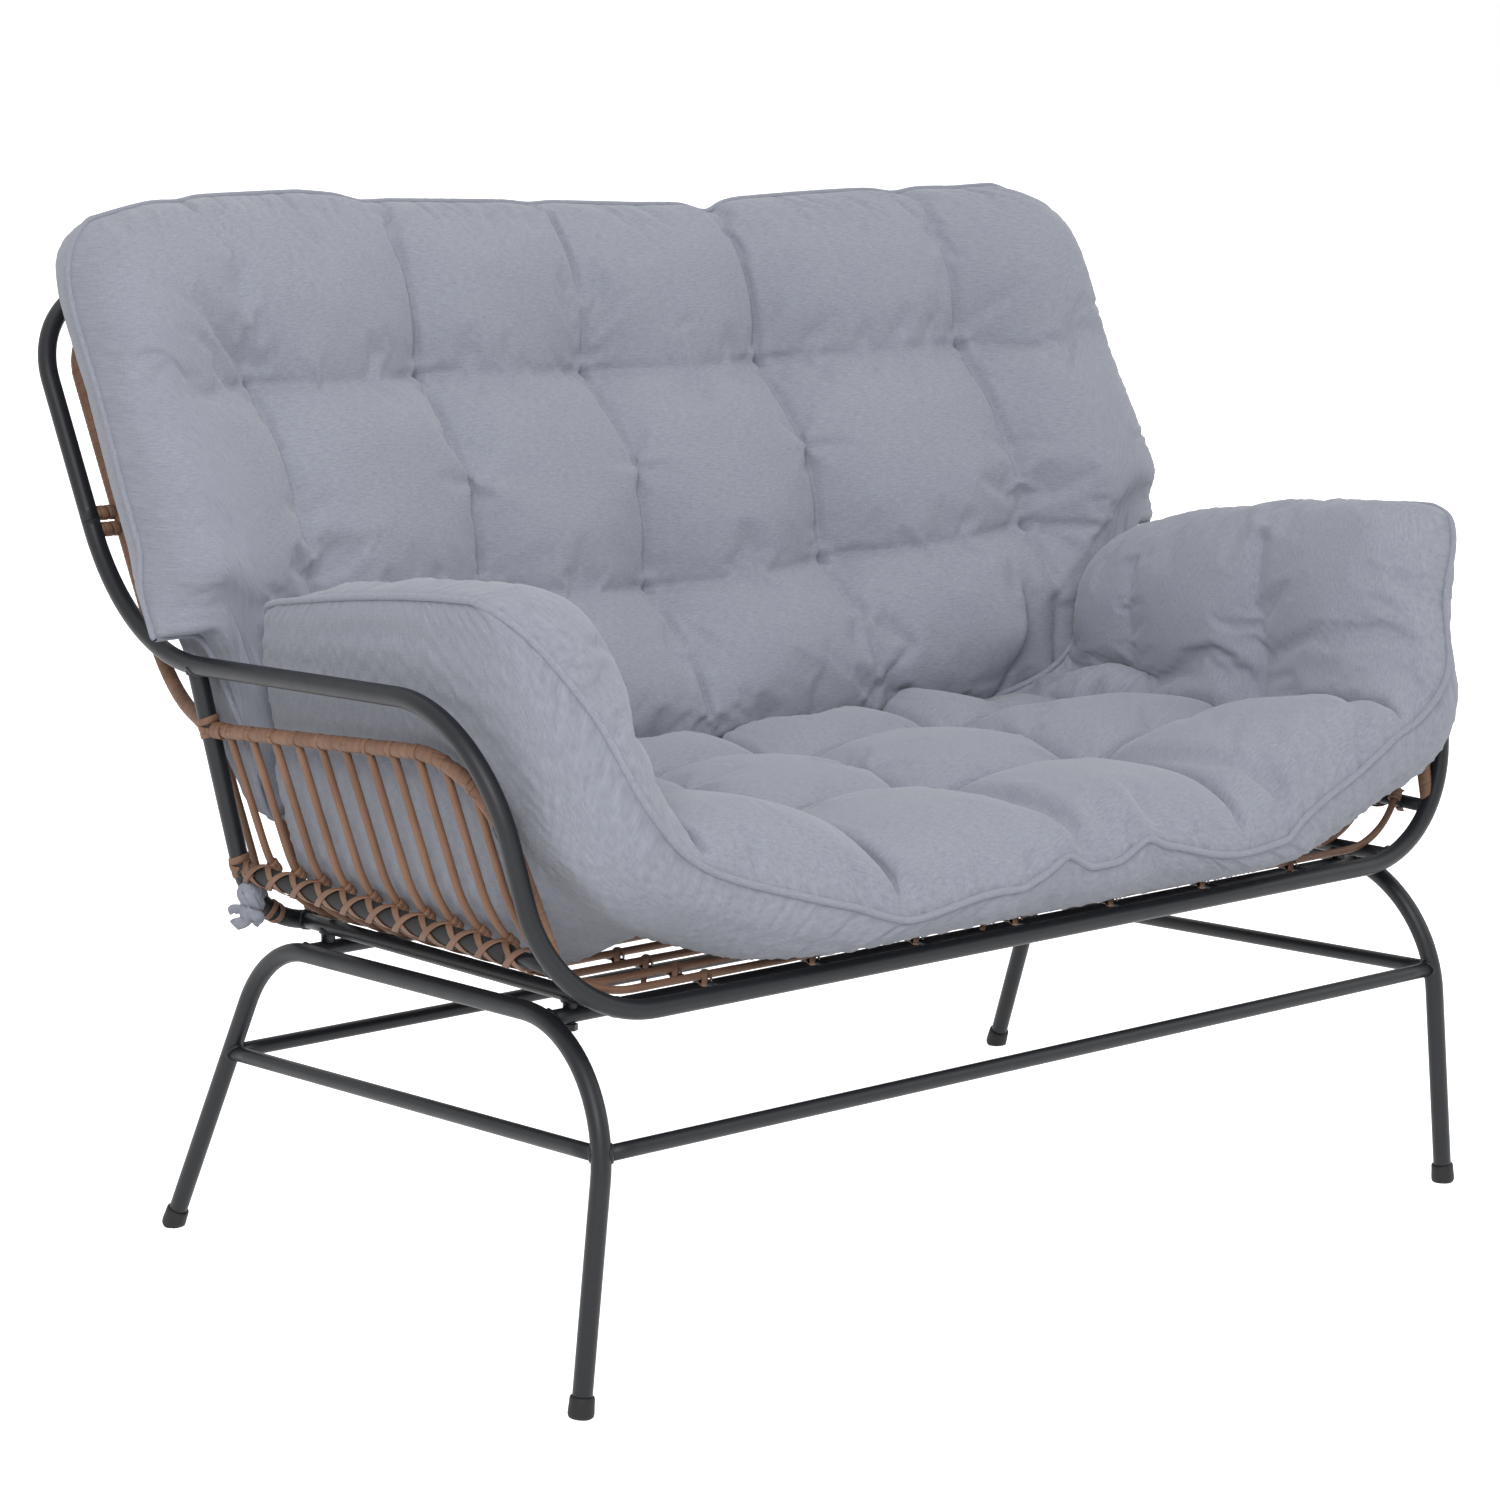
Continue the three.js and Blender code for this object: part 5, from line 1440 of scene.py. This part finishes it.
# Folds of a tufted face: along its columns and rows, round each tuft and a few small ones at random.
# Bands scale the columns' folds; rows and tufts leave the part past the last column nearly plain.
def tufted_folds(s, t, columns, rows, seed, bands=None, last=1e3):
    random = np.random.RandomState(seed)
    field = np.zeros((len(s), len(t)))
    ends_s, ends_t = (s[0], s[-1]), (t[0], t[-1])
    for c in columns:
        stops = [ends_t[0], *rows, ends_t[1]]
        for k, (a, b) in enumerate(zip(stops, stops[1:])):
            line = curved_line((c, a), (c, b), random.uniform(-0.035, 0.035))
            strong = bands[k][columns.index(c)] if bands else 1.0
            depth = COLUMN_FOLD
            if k == 0:
                depth = RIM_FOLD
            elif k == len(stops) - 2:
                depth = RIM_FOLD[::-1]
            fold(field, s, t, line, np.array(depth) * strong, random.uniform(3.6, 4.6))
    for r in rows:
        stops = [ends_s[0], *columns, ends_s[1]]
        for k, (a, b) in enumerate(zip(stops, stops[1:])):
            line = curved_line((a, r), (b, r), random.uniform(-0.03, 0.03))
            depth = np.array(ROW_FOLD)
            wide = random.uniform(3.6, 4.8)
            if (abs(a) + abs(b)) / 2 < last:
                fold(field, s, t, line, depth, wide)
    for c in columns:
        for r in rows:
            turn = random.uniform(0, 0.6)
            for k in range(8):
                a = turn + 2 * math.pi * k / 8 + random.uniform(-0.25, 0.25)
                length = random.uniform(20, 50)
                if abs(c) > 350 and math.cos(a) * c > 0 and last < 1e3:
                    length = 12
                start = (c + 3 * math.cos(a), r + 3 * math.sin(a))
                end = (c + length * math.cos(a), r + length * math.sin(a))
                line = curved_line(start, end, random.uniform(-0.14, 0.14), 6)
                depth = np.linspace(random.uniform(0.8, 1.6), 0, 6)
                fold(field, s, t, line, depth, random.uniform(2.6, 4.2))
    for _ in range(SMALL_FOLDS):
        a, b = random.uniform(s[0], s[-1]), random.uniform(t[0], t[-1])
        turn, length = random.uniform(0, math.pi), random.uniform(30, 80)
        line = curved_line((a, b), (a + length * math.cos(turn), b + length * math.sin(turn)),
                           random.uniform(-0.2, 0.2), 7)
        depth = random.uniform(0.25, 0.9) * np.array((0, 0.5, 0.9, 1, 0.9, 0.5, 0))
        fold(field, s, t, line, depth, random.uniform(4, 8))
    return field


# Short puckers where cloth is gathered into the piping, and the dip beside it.
def rim_puckers(s, t, gap_s, gap_t, seed, deep=1.0, sides=1.0):
    field = np.zeros((len(s), len(t)))

    def gathers(places, offset):
        wide = np.array([noise_at(a * 0.085, seed, offset) for a in places])
        narrow = np.array([noise_at(a * 0.19, seed, offset + 5.0) for a in places])
        return wide * 3.0 + narrow * 1.8

    def at_edge(gap):
        return np.exp(-gap / 26) * (1 - np.exp(-gap / 3.0))

    field += gathers(s, 0.0)[:, None] * at_edge(gap_t)[None, :] * deep
    field += gathers(t, 9.0)[None, :] * at_edge(gap_s)[:, None] * sides
    return field


def padded_object(name, padding, replaced):
    verts = padding.vertices()
    grain = np.zeros((len(verts), 3))
    nu, nv = len(padding.s), len(padding.t)
    chart = np.stack(np.meshgrid(padding.s, padding.t, indexing="ij"), axis=-1) * MM
    grain[: nu * nv, :2] = chart.reshape(-1, 2)
    grain[nu * nv:, :2] = chart[1:-1, 1:-1].reshape(-1, 2)
    form = Form()
    form.add((verts + np.array((0, SHIFT_Y, 0))) * MM, padding.faces().tolist(), grain)
    padded = form.build(name, cloth, "cushion_fabric", [replaced])


# Piping along a cushion's rim, smoothed twice and a little uneven.
def piping(name, padding, seed):
    loop = padding.rim_loop()
    for _ in range(2):
        loop = (np.roll(loop, 1, axis=0) + 2 * loop + np.roll(loop, -1, axis=0)) / 4
    points = [Vector(p) for p in loop] + [Vector(loop[0])]
    route = Route(filled(points, 3.4))
    form = Form()
    scale = [1 + 0.07 * noise_at(x * 160, 2.0, seed) for x in route.s]
    sweep(form, route.p, route.n, route.b, circle(PIPING_R * MM, 12), route.s, caps=False, scale=scale)
    form.build(name, cloth, "cushion_fabric")


# Distance of each column and each row of a grid to the rim.
def chart_gaps(s, t):
    return s[-1] - np.abs(s), np.minimum(t - t[0], t[-1] - t)


# Folds end before they reach the rim.
def faded(field, gap_s, gap_t):
    return field * (1 - np.exp(-gap_t / 6))[None, :] * (1 - np.exp(-gap_s / 6))[:, None]


# Seat cushion
s, ys, rim, over, under, inner_s = seat_grid()
gap_s, gap_t = chart_gaps(s, ys)
on_wing = smooth((np.abs(s)[:, None] - 380) / 80)
edge = np.where(ys < 0, SEAT_EDGE_FRONT, SEAT_EDGE_REAR)[None, :]
edge = edge * (1 - on_wing) + SEAT_EDGE_WING * on_wing
low_side = smooth((np.abs(under[..., 0]) - 300) / 60) * smooth((475 - under[..., 2]) / 60)
under = out_to_strands(under, low_side * smooth((under[..., 1] + 270) / 110))
over = closed_in(rim, over, SEAT_EDGE_WING, edge, gap_s, gap_t)
under = closed_in(rim, under, SEAT_EDGE_UNDER, edge * 0.8, gap_s, gap_t)
seat_pad = Padding(s, ys, over, under)
seat_columns = [float(s[np.argmin(np.abs(inner_s - k))]) for k in TUFT_COLUMNS]
weights = held_weights(seat_pad, seat_columns, SEAT_ROWS)
seat_pad.take(inflated(seat_pad, weights, SEAT_SWELL))
seat_pad.refine()
field = tufted_folds(seat_pad.s, seat_pad.t, seat_columns, SEAT_ROWS, 11, last=415.0)
for start, end, bow, deep in SEAT_FOLDS:
    fold(field, seat_pad.s, seat_pad.t, curved_line(start, end, bow), np.linspace(deep, 2.0, 9), 8.0)
gap_s, gap_t = chart_gaps(seat_pad.s, seat_pad.t)
field = faded(field, gap_s, gap_t)
off_wing = (1 - 0.6 * smooth((np.abs(seat_pad.s) - 360) / 90))[:, None]
field = field * (1 - 0.8 * smooth((np.abs(seat_pad.s) - seat_columns[-1] - 8) / 30))[:, None]
field += rim_puckers(seat_pad.s, seat_pad.t, gap_s, gap_t, 3.0, off_wing, 0.5)
seat_pad.over = seat_pad.over + normals(seat_pad.over) * field[..., None]
under_field = rim_puckers(seat_pad.s, seat_pad.t, gap_s, gap_t, 8.0, off_wing * 0.7, 0.25)
seat_pad.under = seat_pad.under - normals(seat_pad.under) * under_field[..., None]
seat_pad.join()
padded_object("seat_padding", seat_pad, "seat_cushion")
piping("seat_piping", seat_pad, 1.0)

# Back cushion
s, heights, rim, over, under = back_grid()
gap_s, gap_t = chart_gaps(s, heights)
edge = np.where(heights < 560, BACK_EDGE_LOW, BACK_EDGE)
over = closed_in(rim, over, BACK_EDGE, edge, gap_s, gap_t)
under = closed_in(rim, under, BACK_EDGE_UNDER, edge * 0.75, gap_s, gap_t)
back_pad = Padding(s, heights, over, under)
weights = held_weights(back_pad, TUFT_COLUMNS, BACK_ROWS)
before = back_pad.vertices()
swollen = inflated(back_pad, weights, BACK_SWELL)
calm = 0.25 + 0.75 * smooth((BACK_HALF_WIDTH - np.abs(before[:, :1])) / 90)
back_pad.take(before + (swollen - before) * calm)
back_pad.refine()
field = tufted_folds(back_pad.s, back_pad.t, TUFT_COLUMNS, BACK_ROWS, 5, BACK_BANDS)
for start, end, bow, first, last in BACK_FOLDS:
    fold(field, back_pad.s, back_pad.t, curved_line(start, end, bow), np.linspace(first, last, 9), 5.0)
gap_s, gap_t = chart_gaps(back_pad.s, back_pad.t)
field = faded(field, gap_s, gap_t)
upper = 0.3 + 0.7 * smooth((back_pad.t - 480) / 90)
field += rim_puckers(back_pad.s, back_pad.t, gap_s, gap_t, 13.0, upper[None, :], 0.6)
back_pad.over = back_pad.over + normals(back_pad.over) * field[..., None]
back_pad.join()
padded_object("back_padding", back_pad, "back_cushion")
piping("back_piping", back_pad, 4.0)

# Fabric ties round the posts: three turns, a knot with three loops over it and three tails
# Turns: shift, radius, width and tilt. Tails: share that goes sideways, length and width.
TIE_TURNS = ((-3.4, 8.5, 7.5, 1.6), (3.2, 8.7, 7.0, -2.0), (0.2, 9.6, 6.5, 3.0))
TIE_TAILS = ((0.7, 16, 11), (-0.45, 19, 10), (1.4, 13, 9))
TIE_THICK, TAIL_THICK, LOOP_WIDTH = 2.4, 1.8, 8.5
KNOT_OUT, KNOT_UP, KNOT_HALF_AXES = 17, 8.0, (11.5, 10.0, 12.5)
KNOT_RINGS, KNOT_SIDES = 19, 40
down = np.array((0, 0, -1.0))
for side in (1, -1):
    form = Form()
    place = where(hoop_points if side > 0 else hoop_points[::-1], 2, TIE_Z)
    middle = hoop_route.near(row(place))
    for k, (shift, radius, width, tilt) in enumerate(TIE_TURNS):
        band(form, hoop_route, middle + shift * MM, radius, width, TIE_THICK, 1.3 * k + side, tilt)
    p, t = (a[0] for a in hoop_route.at(np.array([middle]))[:2])
    outward = np.array((side * 0.75, -0.66, 0.0))
    outward = unit(outward - t * (outward @ t))
    knot = p + (outward * KNOT_OUT - down * KNOT_UP) * MM
    turns = np.linspace(0, 2 * math.pi, KNOT_SIDES, endpoint=False)
    ball = []
    for lat in np.linspace(-0.5 * math.pi, 0.5 * math.pi, KNOT_RINGS + 2)[1:-1]:
        ring = np.stack([np.cos(turns) * math.cos(lat), np.sin(turns) * math.cos(lat),
                         np.full(KNOT_SIDES, math.sin(lat))], axis=1)
        swell = [noise.noise(Vector(q) * 2.3 + Vector((side, 0, 4))) for q in ring]
        crease = [abs(noise.noise(Vector(q) * 4.6)) for q in ring]
        size = 1 + 0.34 * (np.array(swell) - crease)
        ball.append(knot + ring * size[:, None] * KNOT_HALF_AXES * MM)
    grain = np.zeros((KNOT_RINGS, KNOT_SIDES, 3))
    grain[..., 0] = np.arange(KNOT_SIDES)[None, :] * 0.0018
    grain[..., 1] = np.arange(KNOT_RINGS)[:, None] * 0.002
    faces = ring_faces(KNOT_RINGS, KNOT_SIDES)
    faces += [tuple(range(KNOT_SIDES - 1, -1, -1)),
              tuple((KNOT_RINGS - 1) * KNOT_SIDES + j for j in range(KNOT_SIDES))]
    form.add(ball, faces, grain)
    for k in range(3):
        turn = k * 1.1
        a = np.linspace(0, 2 * math.pi, 25)
        u = unit((math.cos(turn), math.sin(turn), 0.3 * k))
        w = unit((-math.sin(turn) * 0.4, math.cos(turn) * 0.4, 1.0))
        wave = 1 + 0.12 * np.sin(a * 3 + k)[:, None]
        ring = knot + (np.cos(a)[:, None] * u * 9.2 + np.sin(a)[:, None] * w * 10.5) * wave * MM
        out = np.cos(a)[:, None] * u + np.sin(a)[:, None] * w
        strip(form, ring, out, LOOP_WIDTH, TIE_THICK, seed=k)
    sideways = np.cross(down, outward)
    for k, (lean_x, length, width) in enumerate(TIE_TAILS):
        u = np.linspace(0, 1, 16)
        path = knot + (outward * (3 + 9 * np.sin(u * 2.6 + k))[:, None]
                       + sideways * (lean_x * length * u + 3.4 * np.sin(u * 8 + k))[:, None]
                       + down * (4 + length * u**1.1)[:, None]) * MM
        strip(form, path, outward + np.sin(u * 9 + k)[:, None] * 0.8 * sideways, width, TAIL_THICK,
              seed=k * 2.0)
    form.build("tie_cloth_" + names[side], cloth, "cushion_fabric", ["cushion_tie_" + names[side]])

# Floor, world and lamps. The world shows white and lights the scene with less.
FLOOR_HALF = 30.0
WORLD_LIGHT = 0.52
# Lamps: name, place, aim, size and power
LAMPS = (("key", (-2.6, -2.8, 2.7), (0, 0, 0.5), 2.2, 100),
         ("fill", (3.0, -2.2, 2.2), (0, 0, 0.5), 2.6, 30),
         ("top", (0.2, 0.6, 3.6), (0, 0, 0.4), 2.8, 16))
floor_mesh = bpy.data.meshes.new("floor")
floor_corners = [(x * FLOOR_HALF, y * FLOOR_HALF, 0.0) for x, y in ((-1, -1), (1, -1), (1, 1), (-1, 1))]
floor_mesh.from_pydata(floor_corners, [], [(0, 1, 2, 3)])
floor = new_object("floor", floor_mesh)
floor_mat, tree, shader = new_material("floor_white")
shader.inputs["Base Color"].default_value = (0.82, 0.82, 0.82, 1)
shader.inputs["Roughness"].default_value = 0.9
shader.inputs["Emission Color"].default_value = (1, 1, 1, 1)
tree.links.new(seen_directly(tree), shader.inputs["Emission Strength"])
floor.data.materials.append(floor_mat)

world = bpy.data.worlds.new("studio")
bpy.context.scene.world = world
world.use_nodes = True
tree = world.node_tree
background = tree.nodes["Background"]
background.inputs["Color"].default_value = (1, 1, 1, 1)
tree.links.new(ranged(tree, seen_directly(tree), WORLD_LIGHT, 1.0), background.inputs["Strength"])
for name, place, aim, size, power in LAMPS:
    data = bpy.data.lights.new(name, "AREA")
    data.energy, data.size = power, size
    lamp = new_object(name, data)
    lamp.location = place
    lamp.rotation_euler = (Vector(aim) - Vector(place)).to_track_quat("-Z", "Y").to_euler()
